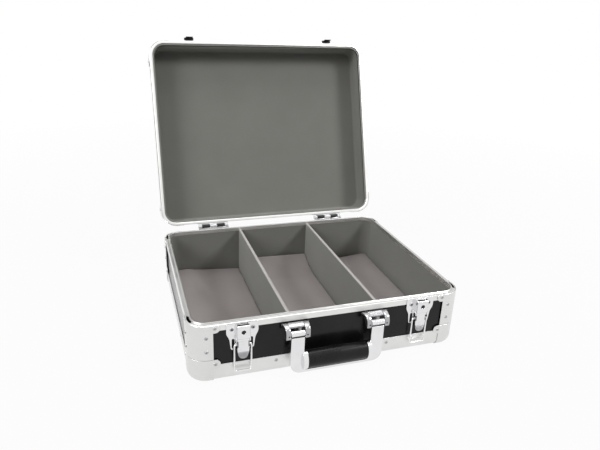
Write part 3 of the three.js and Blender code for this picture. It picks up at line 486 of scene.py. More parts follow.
@dataclass(frozen=True)
class PaleFloor(Finish):
    """A matt floor that keeps the shadow and is white to the camera."""

    glow: float = 0.95
    near: float = 0.5
    far: float = 2.0

    def wire(self, wiring: Wiring, shader: Node) -> None:
        """The glow that the camera sees takes over from the case outwards."""
        wiring.put(shader, {"Specular IOR Level": 0.0})
        glow = wiring.node("ShaderNodeEmission", {"Color": WHITE, "Strength": 1.0})
        away = wiring.node("ShaderNodeVectorMath", operation="LENGTH")
        wiring.link(wiring.node("ShaderNodeTexCoord").outputs["Object"], away.inputs[0])
        share = wiring.ramp(away.outputs["Value"], self.near, self.far, self.glow, 1.0)
        mixed = wiring.node("ShaderNodeMixShader")
        ends = (wiring.maths("MULTIPLY", wiring.seen_directly(), share), shader.outputs[0],
                glow.outputs[0])
        for source, target in zip(ends, mixed.inputs):
            wiring.link(source, target)
        wiring.link(mixed.outputs[0], wiring.tree.nodes["Material Output"].inputs["Surface"])


class Finishes:
    """The finishes of the case and of the floor under it."""

    trim_x = Metal("Trim drawn along X", (0.76, 0.76, 0.75), 0.34, dull=(0.7, 0.7, 0.69),
                   run=Run.ALONG_X, lines=COARSE)
    trim_y = replace(trim_x, name="Trim drawn along Y", run=Run.ALONG_Y)
    trim_strip = replace(trim_x, name="Trim drawn round the case", colour=(0.79, 0.79, 0.77),
                         dull=(0.73, 0.73, 0.71), run=Run.ALONG_STRIP)
    # Painted shade: a darker copy of the trim on the rim's top faces and the lid's step, where the
    # lamps would light them brighter.
    lip = replace(trim_strip, name="Trim of the lip and step", colour=(0.54, 0.54, 0.53),
                  dull=(0.48, 0.48, 0.47))
    # Painted shade: a dark grey copy of the trim on the lid rim's inner flank, for the shade that
    # falls there.
    flank = replace(trim_strip, name="Painted shade of the inner flank", colour=(0.2, 0.2, 0.19), roughness=0.45,
                    dull=(0.16, 0.16, 0.155))
    cast = Metal("Plated casting", (0.44, 0.44, 0.45), 0.24, dull=(0.38, 0.38, 0.39), lines=FINE)
    cap = Metal("Pressed corner plating", (0.74, 0.745, 0.73), 0.3, dull=(0.68, 0.68, 0.67),
                smudge_scale=14.0, lines=FINE)
    chrome = Metal("Bright chrome", (0.8, 0.8, 0.81), 0.16, dull=(0.73, 0.73, 0.74), spread=0.08,
                   lines=FINE / 2, scratches=0.6)
    steel = Metal("Plated steel", (0.6, 0.6, 0.61), 0.3, dull=(0.48, 0.48, 0.49), lines=FINE)
    serrated = Metal("Sandblasted grey metal", (0.42, 0.42, 0.43), 0.5, dull=(0.36, 0.36, 0.37))
    rivet = Metal("Rivet aluminium", (0.5, 0.5, 0.51), 0.36, dull=(0.4, 0.4, 0.41))
    # Painted shade: a near-black finish on slots, gaps, hollows, dimples, screw crosses and the
    # lid's hinge barrels, standing for the shade in them.
    dark = Metal("Painted shade metal for recesses", (0.04, 0.04, 0.04), 0.5, dull=(0.03, 0.03, 0.03))
    plug = Metal("Blackened lock plug", (0.08, 0.08, 0.08), 0.4, dull=(0.05, 0.05, 0.05))
    laminate = Laminate("Black laminate", (0.006, 0.006, 0.0065), 0.17)
    lining = Felt("Grey lining felt", (0.205, 0.205, 0.187), 0.95, shade=(0.175, 0.175, 0.159))
    # The edging felt is lighter partly in its own colour and partly as painted light on the
    # dividers' tops.
    edging = Felt("Light edging felt", (0.42, 0.4, 0.385), 0.95, shade=(0.34, 0.325, 0.31))
    pad = Felt("Pinkish floor felt", (0.302, 0.272, 0.265), 0.95, shade=(0.249, 0.223, 0.218))
    grip = Moulded("Black moulded grip", (0.006, 0.006, 0.0065), 0.3)
    floor = PaleFloor("Pale floor", (0.4, 0.4, 0.4), 0.9)


# Shapes


def vec(*values: float) -> Vector:
    """A vector in millimetres."""
    return Vector(values)


def only(kind: type, geom: Iterable[object]) -> list:
    """The items of one kind among what an operator made."""
    return [item for item in geom if isinstance(item, kind)]


def rectangle(x: Sequence[float], y: Sequence[float],
              radius: float) -> list[Triple]:
    """The corners of a rounded rectangle, counter-clockwise."""
    return [(x[0], y[0], radius), (x[1], y[0], radius), (x[1], y[1], radius), (x[0], y[1], radius)]


class Shape:
    """A mesh in the making, in millimetres."""

    def __init__(self) -> None:
        """Starts an empty mesh."""
        self.bm = bmesh.new()

    def box(self, x: Sequence[float], y: Sequence[float], z: Sequence[float]) -> "Shape":
        """Adds a box between ranges along the three axes."""
        verts = bmesh.ops.create_cube(self.bm, size=1.0)["verts"]
        size = vec(x[1] - x[0], y[1] - y[0], z[1] - z[0])
        bmesh.ops.scale(self.bm, vec=size, verts=verts)
        bmesh.ops.translate(self.bm, vec=vec(sum(x), sum(y), sum(z)) / 2, verts=verts)
        return self

    def rod(self, radius: float, x: Sequence[float], y: float = 0.0, z: float = 0.0,
            segments: int = 32) -> "Shape":
        """Adds a round bar along X."""
        verts = bmesh.ops.create_cone(self.bm, cap_ends=True, segments=segments, radius1=radius,
                                      radius2=radius, depth=x[1] - x[0])["verts"]
        bmesh.ops.rotate(self.bm, verts=verts, cent=vec(0, 0, 0),
                         matrix=Matrix.Rotation(QUARTER, 3, "Y"))
        bmesh.ops.translate(self.bm, vec=vec(sum(x) / 2, y, z), verts=verts)
        return self

    def post(self, radius: float, place: Sequence[float], depth: float) -> "Shape":
        """Adds a round bar along Z, laid round its middle."""
        verts = bmesh.ops.create_cone(self.bm, cap_ends=True, segments=32, radius1=radius,
                                      radius2=radius, depth=depth)["verts"]
        bmesh.ops.translate(self.bm, vec=vec(*place), verts=verts)
        return self

    def rounding(self, geom: Iterable[object], radius: float, segments: int,
                 affect: str = "EDGES", clamp: bool = True) -> None:
        """Rounds some edges or corners of the mesh."""
        bmesh.ops.bevel(self.bm, geom=list(geom), offset=radius, offset_type="OFFSET",
                        segments=segments, profile=0.5, affect=affect, material=-1,
                        clamp_overlap=clamp)

    def outline(self, corners: Sequence[Triple], segments: int = 5) -> None:
        """Adds a flat polygon in XY with rounded corners.

        Args:
            corners: x, y and radius of each corner, counter-clockwise.
            segments: how finely a corner is rounded.
        """
        self.bm.faces.new([self.bm.verts.new((x, y, 0.0)) for x, y, _ in corners])
        for radius in sorted({corner[2] for corner in corners if corner[2] > 0}):
            places = [vec(x, y, 0.0) for x, y, own in corners if own == radius]
            chosen = [v for v in self.bm.verts if any((v.co - p).length < TINY for p in places)]
            self.rounding(chosen, radius, segments, "VERTICES")

    def plate(self, corners: Sequence[Triple], low: float, high: float,
              holes: Sequence[Sequence[Triple]] = (), segments: int = 5) -> "Shape":
        """Adds a flat plate in XY from one height to another, with holes through it."""
        flat = Shape()
        flat.outline(corners, segments)
        for hole in holes:
            cut = Shape()
            cut.outline(hole, segments)
            flat.add(cut)
        bm = flat.bm
        if holes:
            bmesh.ops.delete(bm, geom=bm.faces[:], context="FACES_ONLY")
            bmesh.ops.triangle_fill(bm, use_beauty=True, edges=bm.edges[:], normal=vec(0, 0, 1))
        made = bmesh.ops.extrude_face_region(bm, geom=bm.faces[:])["geom"]
        bmesh.ops.translate(bm, vec=vec(0, 0, high - low), verts=only(Vert, made))
        bmesh.ops.translate(bm, vec=vec(0, 0, low), verts=bm.verts[:])
        bmesh.ops.recalc_face_normals(bm, faces=bm.faces[:])
        return self.add(flat)

    def add(self, other: "Shape") -> "Shape":
        """Takes in all of another shape, which is then spent."""
        spare = bpy.data.meshes.new("spare")
        other.bm.to_mesh(spare)
        other.bm.free()
        self.bm.from_mesh(spare)
        bpy.data.meshes.remove(spare)
        return self

    def move(self, matrix: Matrix) -> "Shape":
        """Places the whole shape, turning it right side out after a mirror."""
        bmesh.ops.transform(self.bm, matrix=matrix, verts=self.bm.verts[:])
        if matrix.determinant() < 0:
            bmesh.ops.reverse_faces(self.bm, faces=self.bm.faces[:])
        return self

    def shift(self, x: float, y: float, z: float) -> "Shape":
        """Moves the whole shape along the axes."""
        return self.move(Matrix.Translation((x, y, z)))

    def upright(self, x: float = 0.0, y: float = 0.0, z: float = 0.0) -> "Shape":
        """Stands a shape drawn in XY up across Y: its height turns towards the front."""
        return self.move(Matrix.Translation((x, y, z)) @ Matrix.Rotation(QUARTER, 4, "X"))

    def bevel(self, width: float, segments: int = 2,
              chosen: Callable[[Edge], bool] = lambda edge: True) -> "Shape":
        """Rounds the sharp edges that are chosen."""
        self.rounding([e for e in self.bm.edges if len(e.link_faces) == 2
                       and e.calc_face_angle(0.0) > SHARP and chosen(e)], width, segments)
        return self

    def cut(self, place: Vector, normal: Vector) -> "Shape":
        """Cuts away what lies on the normal's side of a plane, and closes the cut."""
        geom = self.bm.verts[:] + self.bm.edges[:] + self.bm.faces[:]
        made = bmesh.ops.bisect_plane(self.bm, geom=geom, dist=TINY, plane_co=place,
                                      plane_no=normal, clear_outer=True)["geom_cut"]
        bmesh.ops.holes_fill(self.bm, edges=only(Edge, made), sides=0)
        return self

    def tidy(self) -> "Shape":
        """Merges doubles and points every face outwards."""
        bmesh.ops.remove_doubles(self.bm, verts=self.bm.verts[:], dist=TINY)
        bmesh.ops.recalc_face_normals(self.bm, faces=self.bm.faces[:])
        return self

    def paint(self, index: int, chosen: Callable[[Vector], bool] = lambda at: True) -> "Shape":
        """Gives a material number to the faces whose middle is chosen."""
        for face in self.bm.faces:
            if chosen(face.calc_center_median()):
                face.material_index = index
        return self


class Sweep(Shape):
    """A profile carried along straight runs and bends."""

    def __init__(self, profile: Sequence[Vector]) -> None:
        """Draws the closed profile at the start of the run."""
        super().__init__()
        verts = [self.bm.verts.new(point) for point in profile]
        self.last = [self.bm.edges.new(pair) for pair in zip(verts, verts[1:] + verts[:1])]

    def end(self) -> list[Vert]:
        """The points that the profile has come to, in an order that is the same each run."""
        return list(dict.fromkeys(v for e in self.last for v in e.verts))

    def straight(self, step: Vector) -> "Sweep":
        """Carries the profile on in a straight line."""
        made = bmesh.ops.extrude_edge_only(self.bm, edges=self.last)["geom"]
        self.last = only(Edge, made)
        bmesh.ops.translate(self.bm, vec=step, verts=self.end())
        return self

    def bend(self, centre: Vector, axis: Vector, angle: float, steps: int) -> "Sweep":
        """Carries the profile round a bend."""
        made = bmesh.ops.spin(self.bm, geom=self.end() + self.last, cent=centre, axis=axis,
                              dvec=vec(0, 0, 0), angle=angle, space=Matrix.Identity(4),
                              steps=steps)["geom_last"]
        self.last = only(Edge, made)
        return self

    def capped(self) -> "Sweep":
        """Closes both ends of a closed profile."""
        bmesh.ops.holes_fill(self.bm, edges=[e for e in self.bm.edges if e.is_boundary], sides=0)
        self.tidy()
        return self

    @classmethod
    def turned(cls, profile: Sequence[Pair], sides: int) -> "Sweep":
        """A profile of radii and heights turned once round Z."""
        sweep = cls([vec(radius, 0, height) for radius, height in profile])
        sweep.bend(vec(0, 0, 0), vec(0, 0, 1), 2 * math.pi, sides)
        sweep.tidy()
        return sweep

    @classmethod
    def ring(cls, profile: Sequence[Pair], steps: int) -> "Sweep":
        """A profile of insets and heights carried once round the case."""
        sweep = cls([vec(0.0, inset - CASE.half_depth, height) for inset, height in profile])
        across, along = CASE.reach_x, CASE.reach_y
        sweep.straight(vec(across, 0, 0))
        for centre, run in (((across, -along), (0, 2 * along)), ((across, along), (-2 * across, 0)),
                            ((-across, along), (0, -2 * along)), ((-across, -along), (across, 0))):
            sweep.bend(vec(*centre, 0), vec(0, 0, 1), QUARTER, steps)
            sweep.straight(vec(*run, 0))
        sweep.tidy()
        sweep.number_run()
        return sweep

    def number_run(self) -> None:
        """Lays a UV map whose first value runs along the ring and whose second runs across it."""
        layer = self.bm.loops.layers.uv.new("Run")
        bend = QUARTER * CASE.corner
        for face in self.bm.faces:
            middle = face.calc_center_median()
            for loop in face.loops:
                at, x, y = loop.vert.co, abs(loop.vert.co.x), abs(loop.vert.co.y)
                if abs(middle.y) <= CASE.reach_y:
                    along, across = CASE.reach_x + bend + at.y + CASE.reach_y, CASE.half_width - x
                elif abs(middle.x) <= CASE.reach_x:
                    along, across = at.x, CASE.half_depth - y
                else:
                    past_x, past_y = x - CASE.reach_x, y - CASE.reach_y
                    along = CASE.reach_x + math.atan2(past_x, past_y) * CASE.corner
                    across = CASE.corner - math.hypot(past_x, past_y)
                loop[layer].uv = (along * MM, (at.z + across) * MM)


def arc(centre: Pair, radius: float, start: float, end: float, steps: int = 10) -> list[Pair]:
    """Points along an arc, with both ends."""
    angles = [start + (end - start) * step / steps for step in range(steps + 1)]
    return [(centre[0] + radius * math.cos(at), centre[1] + radius * math.sin(at)) for at in angles]


def edge_profile(rise: float, reach: float) -> list[Pair]:
    """The section of a rounded edge trim, as insets and as heights from its flat side."""
    bend, outer, inner = (CASE.edge, CASE.edge), CASE.trim_inset, CASE.trim_inner
    return [(outer, rise), *arc(bend, CASE.edge - outer, math.pi, 1.5 * math.pi),
            (reach, outer), (reach, inner),
            *arc(bend, CASE.edge - inner, 1.5 * math.pi, math.pi), (inner, rise)]


class Piece:
    """Turns shapes into finished objects that ride on the case's bodies."""

    @staticmethod
    def to_object(name: str, shape: Shape) -> bpy.types.Object:
        """An object in metres of a shape, which is then spent."""
        bmesh.ops.scale(shape.bm, vec=vec(MM, MM, MM), verts=shape.bm.verts[:])
        mesh = bpy.data.meshes.new(name)
        shape.bm.to_mesh(mesh)
        shape.bm.free()
        made = bpy.data.objects.new(name, mesh)
        bpy.context.scene.collection.objects.link(made)
        return made

    @staticmethod
    def round_edges(target: bpy.types.Object, width: float, angle: float = SHARP) -> None:
        """Puts a bevel, of a width in metres, over an object's sharp edges."""
        bevel = target.modifiers.new("Round off", "BEVEL")
        bevel.width, bevel.segments = width, 2
        bevel.limit_method, bevel.angle_limit = "ANGLE", angle
        bevel.harden_normals = True

    @staticmethod
    def thicken(target: bpy.types.Object, name: str, thickness: float, offset: float,
                even: bool = True) -> None:
        """Gives a sheet its thickness: offset 1 puts it on the outside, -1 on the inside."""
        wall = target.modifiers.new(name, "SOLIDIFY")
        wall.thickness, wall.offset, wall.use_even_offset = thickness * MM, offset, even

    @staticmethod
    def finish(name: str, shape: Shape, body: str, slot: str, *finishes: Finish,
               replaces: str = "", round_off: float = 0.0,
               crease: float = SHARP) -> bpy.types.Object:
        """Makes a shape an object of the case.

        Args:
            name: the object's name.
            shape: the mesh in the making, which is then spent.
            body: the body that it rides on.
            slot: not used.
            finishes: its finishes, by material number.
            replaces: the plain solid that it stands for, if any.
            round_off: width of the bevel on its sharp edges, or 0 for none.
            crease: the angle from which an edge is shaded sharp.

        Returns:
            The object.
        """
        made = Piece.to_object(name, shape)
        for own in finishes:
            made.data.materials.append(own.material())
        made.data.shade_smooth()
        made.data.set_sharp_from_angle(angle=crease)
        if round_off > 0:
            Piece.round_edges(made, round_off * MM)
        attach(made, body)
        if replaces:
            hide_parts(replaces)
        return made

    @staticmethod
    def dress(node: str, finish: Finish) -> None:
        """Gives a plain solid that stays its better finish."""
        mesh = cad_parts[node].data
        mesh.materials.clear()
        mesh.materials.append(finish.material())

    @staticmethod
    def carve(target: bpy.types.Object, cutter: Shape) -> None:
        """Cuts a shape out of an object for good."""
        tool = Piece.to_object("cutter", cutter)
        widths = [modifier.width for modifier in target.modifiers if modifier.type == "BEVEL"]
        target.modifiers.clear()
        boolean = target.modifiers.new("Cut", "BOOLEAN")
        boolean.operation = "DIFFERENCE"
        boolean.solver = "EXACT"
        boolean.object = tool
        bpy.context.view_layer.update()
        depsgraph = bpy.context.evaluated_depsgraph_get()
        result = bpy.data.meshes.new_from_object(target.evaluated_get(depsgraph))
        result.name = target.name
        target.modifiers.clear()
        old, target.data, spare = target.data, result, tool.data
        bpy.data.objects.remove(tool)
        for mesh in (old, spare):
            bpy.data.meshes.remove(mesh)
        for width in widths:
            Piece.round_edges(target, width)

    @staticmethod
    def copy_of(node: str) -> Shape:
        """A plain solid's mesh, merged and with its flat faces made whole, to be refined."""
        shape = Shape()
        shape.bm.from_mesh(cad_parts[node].data)
        bmesh.ops.scale(shape.bm, vec=vec(1 / MM, 1 / MM, 1 / MM), verts=shape.bm.verts[:])
        bmesh.ops.remove_doubles(shape.bm, verts=shape.bm.verts[:], dist=0.002)
        bmesh.ops.dissolve_limit(shape.bm, angle_limit=math.radians(0.5), verts=shape.bm.verts[:],
                                 edges=shape.bm.edges[:], use_dissolve_boundaries=False)
        return shape


# Fasteners


@dataclass
class Rivets:
    """Blind rivets: a domed flange with the stem's end sunk in its middle."""

    radius: float = 3.0
    height: float = 0.9
    bore: float = 0.95
    sides: int = 16

    def head(self) -> Shape:
        """One rivet, standing up along Z."""
        sink = 0.1
        turned = Sweep.turned([
            (0, sink), (self.bore * 0.85, sink), (self.bore, self.height * 0.92),
            (self.radius * 0.62, self.height), (self.radius * 0.9, self.height * 0.55),
            (self.radius, 0), (self.radius, -0.3), (0, -0.3)], self.sides)
        turned.paint(1, lambda at: math.hypot(at.x, at.y) < self.bore and at.z > 0)
        return turned

    def at(self, place: Vector, out: Vector) -> Shape:
        """A rivet on a face whose outward direction is given."""
        turn = Vector((0, 0, 1)).rotation_difference(out).to_matrix().to_4x4()
        return self.head().move(Matrix.Translation(place) @ turn)

    def build(self, name: str, places: Iterable[tuple[Vector, Vector]], body: str) -> None:
        """Makes all the rivets of one body in one piece.

        Args:
            name: the piece's name.
            places: the middle and outward direction of each rivet, with the lid shut.
            body: the body that they ride on.
        """
        whole = Shape()
        for place, out in places:
            whole.add(self.at(place, out))
        if body == "lid":
            whole.move(CASE.opened())
        Piece.finish(name, whole, body, "cap", Finishes.rivet, Finishes.serrated)


@dataclass
class Screws:
    """Round-headed grey screws with a cross recess; their finishes are painted shade 1, for the
    recess, and grey 2.
    """

    radius: float
    height: float
    arm: float = 1.75
    width: float = 0.62

    def head(self) -> Shape:
        """One screw head, standing up along Z, with its recess as dark facets of painted shade."""
        turned = Sweep.turned([
            (0, self.height), (self.radius * 0.45, self.height * 0.96),
            (self.radius * 0.78, self.height * 0.72), (self.radius * 0.95, self.height * 0.36),
            (self.radius, 0), (self.radius, -0.4), (0, -0.4)], 24)
        turned.paint(2)
        # Painted shade: the cross recess is thin dark boxes at the top of the head, not cut in.
        cross = Shape()
        top = self.height + 0.03
        for long, short in ((self.arm, self.width), (self.width, self.arm)):
            cross.box((-long, long), (-short, short), (top - 0.5, top))
        return turned.add(cross.paint(1))

    def at(self, x: float, y: float, z: float, turn: float) -> Shape:
        """A screw on a face towards the front; turn is how far its cross is turned."""
        return self.head().move(Matrix.Translation((x, y, z)) @ Matrix.Rotation(QUARTER, 4, "X")
                                @ Matrix.Rotation(turn, 4, "Z"))


# Base


@dataclass
class BaseShell:
    """The boards of the base, the rim round its opening and its rounded lower edges."""

    web: float = 3.5
    inner_flange: float = 5.5
    tongue_inset: float = 7.15
    tongue_height: float = 2.0
    strip_rise: float = 33.0
    strip_reach: float = 29.0
    strip_end: float = 31.0
    slot_angles: Pair = (-0.3, 0.56)
    slot_lean: float = 0.12
    slot_depth: float = 8.0

    def rim(self) -> None:
        """The rim, with its raised lip and the open slots at its bends; the lip's top is painted
        darker and the slots' faces black, as painted shade.
        """
        outer, back, inner = CASE.trim_inset, CASE.trim_inner, CASE.rim_inner
        top, inside, tongue = CASE.parting, inner - CASE.gauge, self.tongue_inset
        low, crown = top - CASE.rim_flange, top + self.tongue_height
        web, foot = top - self.web, top - self.inner_flange
        ring = Sweep.ring([
            (outer, low), (outer, top - 0.9), (outer + 0.27, top - 0.27), (outer + 0.9, top),
            (tongue - 0.5, top), (tongue, top + 0.5), (tongue + 0.15, crown - 0.6),
            (tongue + 0.75, crown), (inner - 0.6, crown), (inner, crown - 0.6), (inner, foot),
            (inside, foot), (inside, web), (back, web), (back, low)], CASE.rim_steps)
        # Painted shade: the top faces take the darker trim.
        ring.paint(1, lambda at: at.z > top - TINY)
        made = Piece.finish("base_rim_trim", ring, "base", "trim", Finishes.trim_strip,
                            Finishes.lip, Finishes.dark, replaces="base_rim", crease=CREASE)
        slots = Shape()
        for _, side, end in CORNERS:
            slots.add(self.slot((side * CASE.reach_x, end * CASE.reach_y), side, end))
        # Painted shade: the faces cut by the slots take the near-black finish.
        Piece.carve(made, slots.paint(2))

    def slot(self, centre: Pair, side: int, end: int) -> Shape:
        """The cutter of one crescent slot, from the side wall towards the front or rear."""
        start, stop = self.slot_angles
        outer = arc((0, 0), CASE.corner - CASE.trim_inner, start, stop)
        inner = arc((0, 0), CASE.corner - self.tongue_inset + 0.2, stop - self.slot_lean,
                    start + self.slot_lean)
        outline = [(centre[0] + side * x, centre[1] + end * y, 0.0) for x, y in outer + inner]
        if side * end < 0:
            outline.reverse()
        return Shape().plate(outline, CASE.parting - self.slot_depth, CASE.parting + 1.2)

    def strips(self) -> None:
        """The four rounded edge strips under the walls."""
        profile = edge_profile(self.strip_rise, self.strip_reach)
        for turn, wall in enumerate(("front", "right", "rear", "left")):
            along, out = (CASE.half_width, CASE.half_depth)[::-1 if turn % 2 else 1]
            half = along - self.strip_end
            strip = Sweep([vec(-half, inset - out, height) for inset, height in profile])
            strip.straight(vec(2 * half, 0, 0)).capped()
            strip.move(Matrix.Rotation(turn * QUARTER, 4, "Z"))
            finish = Finishes.trim_y if turn % 2 else Finishes.trim_x
            Piece.finish(f"lower_edge_{wall}", strip, "base", "trim", finish,
                         replaces=f"bottom_edge_{wall}", round_off=0.25)

    def build(self) -> None:
        """Makes the trim and dresses the boards."""
        self.rim()
        self.strips()
        for node in ("bottom_panel", "front_panel", "rear_panel", "left_panel", "right_panel"):
            Piece.dress(node, Finishes.laminate)


@dataclass
class CornerGuards:
    """Pressed and bent corner caps of the base and the lid."""

    leg: float = 37.5
    lid_leg: float = 43.0
    seam: float = 43.0
    seam_gap: float = 0.4
    ear_reach: float = 10.5
    ear_height: float = 16.0
    upper_ear: float = 89.0
    ball_ear: Pair = (7.9, 7.9)
    plate_ear: Pair = (7.6, 5.0)
    edge_bevel: float = 0.4
    strip_rivet: Pair = (95.0, 24.5)
    rivet_rows: tuple[tuple[str, float, Pair], ...] = (
        ("base", 27.0, (82.0, 58.0)), ("base", 40.0, (34.8, 97.0)), ("lid", 35.0, (116.3, 138.3)))

    def walls(self, leg: float, low: float, high: float, rounded: float | None = None) -> Shape:
        """Two walls that meet in a bend, as a sheet whose outer planes are X 0 and Y 0.

        Args:
            leg: how far each wall runs from the corner.
            low: the lower edge.
            high: the upper edge.
            rounded: the height of the flat end that closes the sheet over a rounded edge, or None.

        Returns:
            The sheet, with its outer side out.
        """
        shape = Shape().box((-leg, 0), (-leg, 0), (low, high))
        bm = shape.bm
        upright = [e for e in bm.edges if all(v.co.xy.length < TINY for v in e.verts)]
        shape.rounding(upright, CASE.corner, 14, clamp=False)
        if rounded is not None:
            over = [e for e in bm.edges if self.on_edge(e, rounded, leg)]
            shape.rounding(over, CASE.edge, 8, clamp=False)
        ends = [height for height in (low, high) if height != rounded]
        gone = [f for f in bm.faces if self.is_open(f, ends, leg)]
        bmesh.ops.delete(bm, geom=gone, context="FACES")
        return shape

    @staticmethod
    def is_open(face: bmesh.types.BMFace, ends: Sequence[float], leg: float) -> bool:
        """Whether a face of the block is one that the sheet leaves out."""
        middle, flat = face.calc_center_median(), face.normal
        inner = any(flat[axis] < -0.99 and abs(middle[axis] + leg) < 0.01 for axis in (0, 1))
        return inner or any(abs(flat.z) > 0.99 and abs(middle.z - end) < 0.01 for end in ends)

    @staticmethod
    def on_edge(edge: Edge, height: float, leg: float) -> bool:
        """Whether an edge lies on the outer outline of the block's flat end."""
        ends = [v.co for v in edge.verts]
        level = all(abs(p.z - height) < TINY for p in ends)
        inner = any(all(abs(p[axis] + leg) < TINY for p in ends) for axis in (0, 1))
        return level and not inner

    def ears(self, shape: Shape, low: float, high: float, lower: float, upper: float) -> None:
        """Draws an ear out of each wall's free end.

        Args:
            shape: the sheet.
            low: the ear's lower edge.
            high: the ear's upper edge.
            lower: radius of the ear's lower corner.
            upper: radius of its upper corner.
        """
        bm, leg = shape.bm, self.leg
        for height in (low, high):
            geom = bm.verts[:] + bm.edges[:] + bm.faces[:]
            bmesh.ops.bisect_plane(bm, geom=geom, dist=TINY, plane_co=vec(0, 0, height),
                                   plane_no=vec(0, 0, 1))
        for axis in (0, 1):
            free = [e for e in bm.edges if e.is_boundary
                    and all(abs(v.co[axis] + leg) < TINY and abs(v.co[1 - axis]) < TINY
                            and low - TINY < v.co.z < high + TINY for v in e.verts)]
            made = bmesh.ops.extrude_edge_only(bm, edges=free)["geom"]
            tips = only(Vert, made)
            step = vec(0, 0, 0)
            step[axis] = -self.ear_reach
            bmesh.ops.translate(bm, vec=step, verts=tips)
            tips.sort(key=lambda v: v.co.z)
            for tip, radius in zip(tips, (lower, upper)):
                shape.rounding([tip], radius, 6, "VERTICES", clamp=False)
        bmesh.ops.recalc_face_normals(bm, faces=bm.faces[:])

    def place(self, name: str, shape: Shape, side: int, end: int, body: str, node: str) -> None:
        """Puts a sheet on one corner and gives it its thickness."""
        outward = sum((f.normal * f.calc_area() for f in shape.bm.faces), vec(0, 0, 0))
        if outward.x + outward.y < 0:
            bmesh.ops.reverse_faces(shape.bm, faces=shape.bm.faces[:])
        shape.move(Matrix.Translation((side * CASE.half_width, end * CASE.half_depth, 0))
                   @ Matrix.Diagonal((side, end, 1, 1)))
        if body == "lid":
            shape.move(CASE.opened())
        made = Piece.finish(name, shape, body, "cap", Finishes.cap, replaces=node)
        Piece.thicken(made, "Sheet", CASE.cap, -1.0)
        Piece.round_edges(made, self.edge_bevel * MM, math.radians(50))

    def build(self) -> None:
        """Makes the twelve caps and their rivets."""
        top = self.seam - self.seam_gap / 2
        for name, side, end in CORNERS:
            lower = self.walls(self.leg, 0.0, top, rounded=0.0)
            self.ears(lower, top - self.ear_height, top, *self.ball_ear)
            self.place(f"ball_cap_{name}", lower, side, end, "base", f"ball_corner_{name}")
            upper = self.walls(self.leg, self.seam + self.seam_gap / 2, CASE.parting)
            self.ears(upper, self.upper_ear, CASE.parting, *self.plate_ear)
            self.place(f"upright_cap_{name}", upper, side, end, "base", f"corner_plate_{name}")
            over = self.walls(self.lid_leg, CASE.lid_base, CASE.lid_top, rounded=CASE.lid_top)
            self.place(f"lid_cap_{name}", over, side, end, "lid", f"lid_corner_{name}")
        self.rivets()

    def rivets(self) -> None:
        """Rivets of the caps and of the lower edge strips."""
        places: dict[str, list[tuple[Vector, Vector]]] = {"base": [], "lid": []}
        for _, side, end in CORNERS:
            for across, out, near, along, face in (
                    (vec(1, 0, 0), vec(0, end, 0), side, CASE.half_width, CASE.half_depth),
                    (vec(0, 1, 0), vec(side, 0, 0), end, CASE.half_depth, CASE.half_width)):
                for body, inset, heights in self.rivet_rows:
                    for height in heights:
                        place = across * (near * (along - inset)) + out * face + vec(0, 0, height)
                        places[body].append((place, out))
                reach, height = self.strip_rivet
                strip = reach * along / CASE.half_width
                place = across * (near * strip) + out * (face - CASE.trim_inset) + vec(0, 0, height)
                places["base"].append((place, out))
        Rivets().build("base_rivets", places["base"], "base")
        Rivets().build("lid_rivets", places["lid"], "lid")


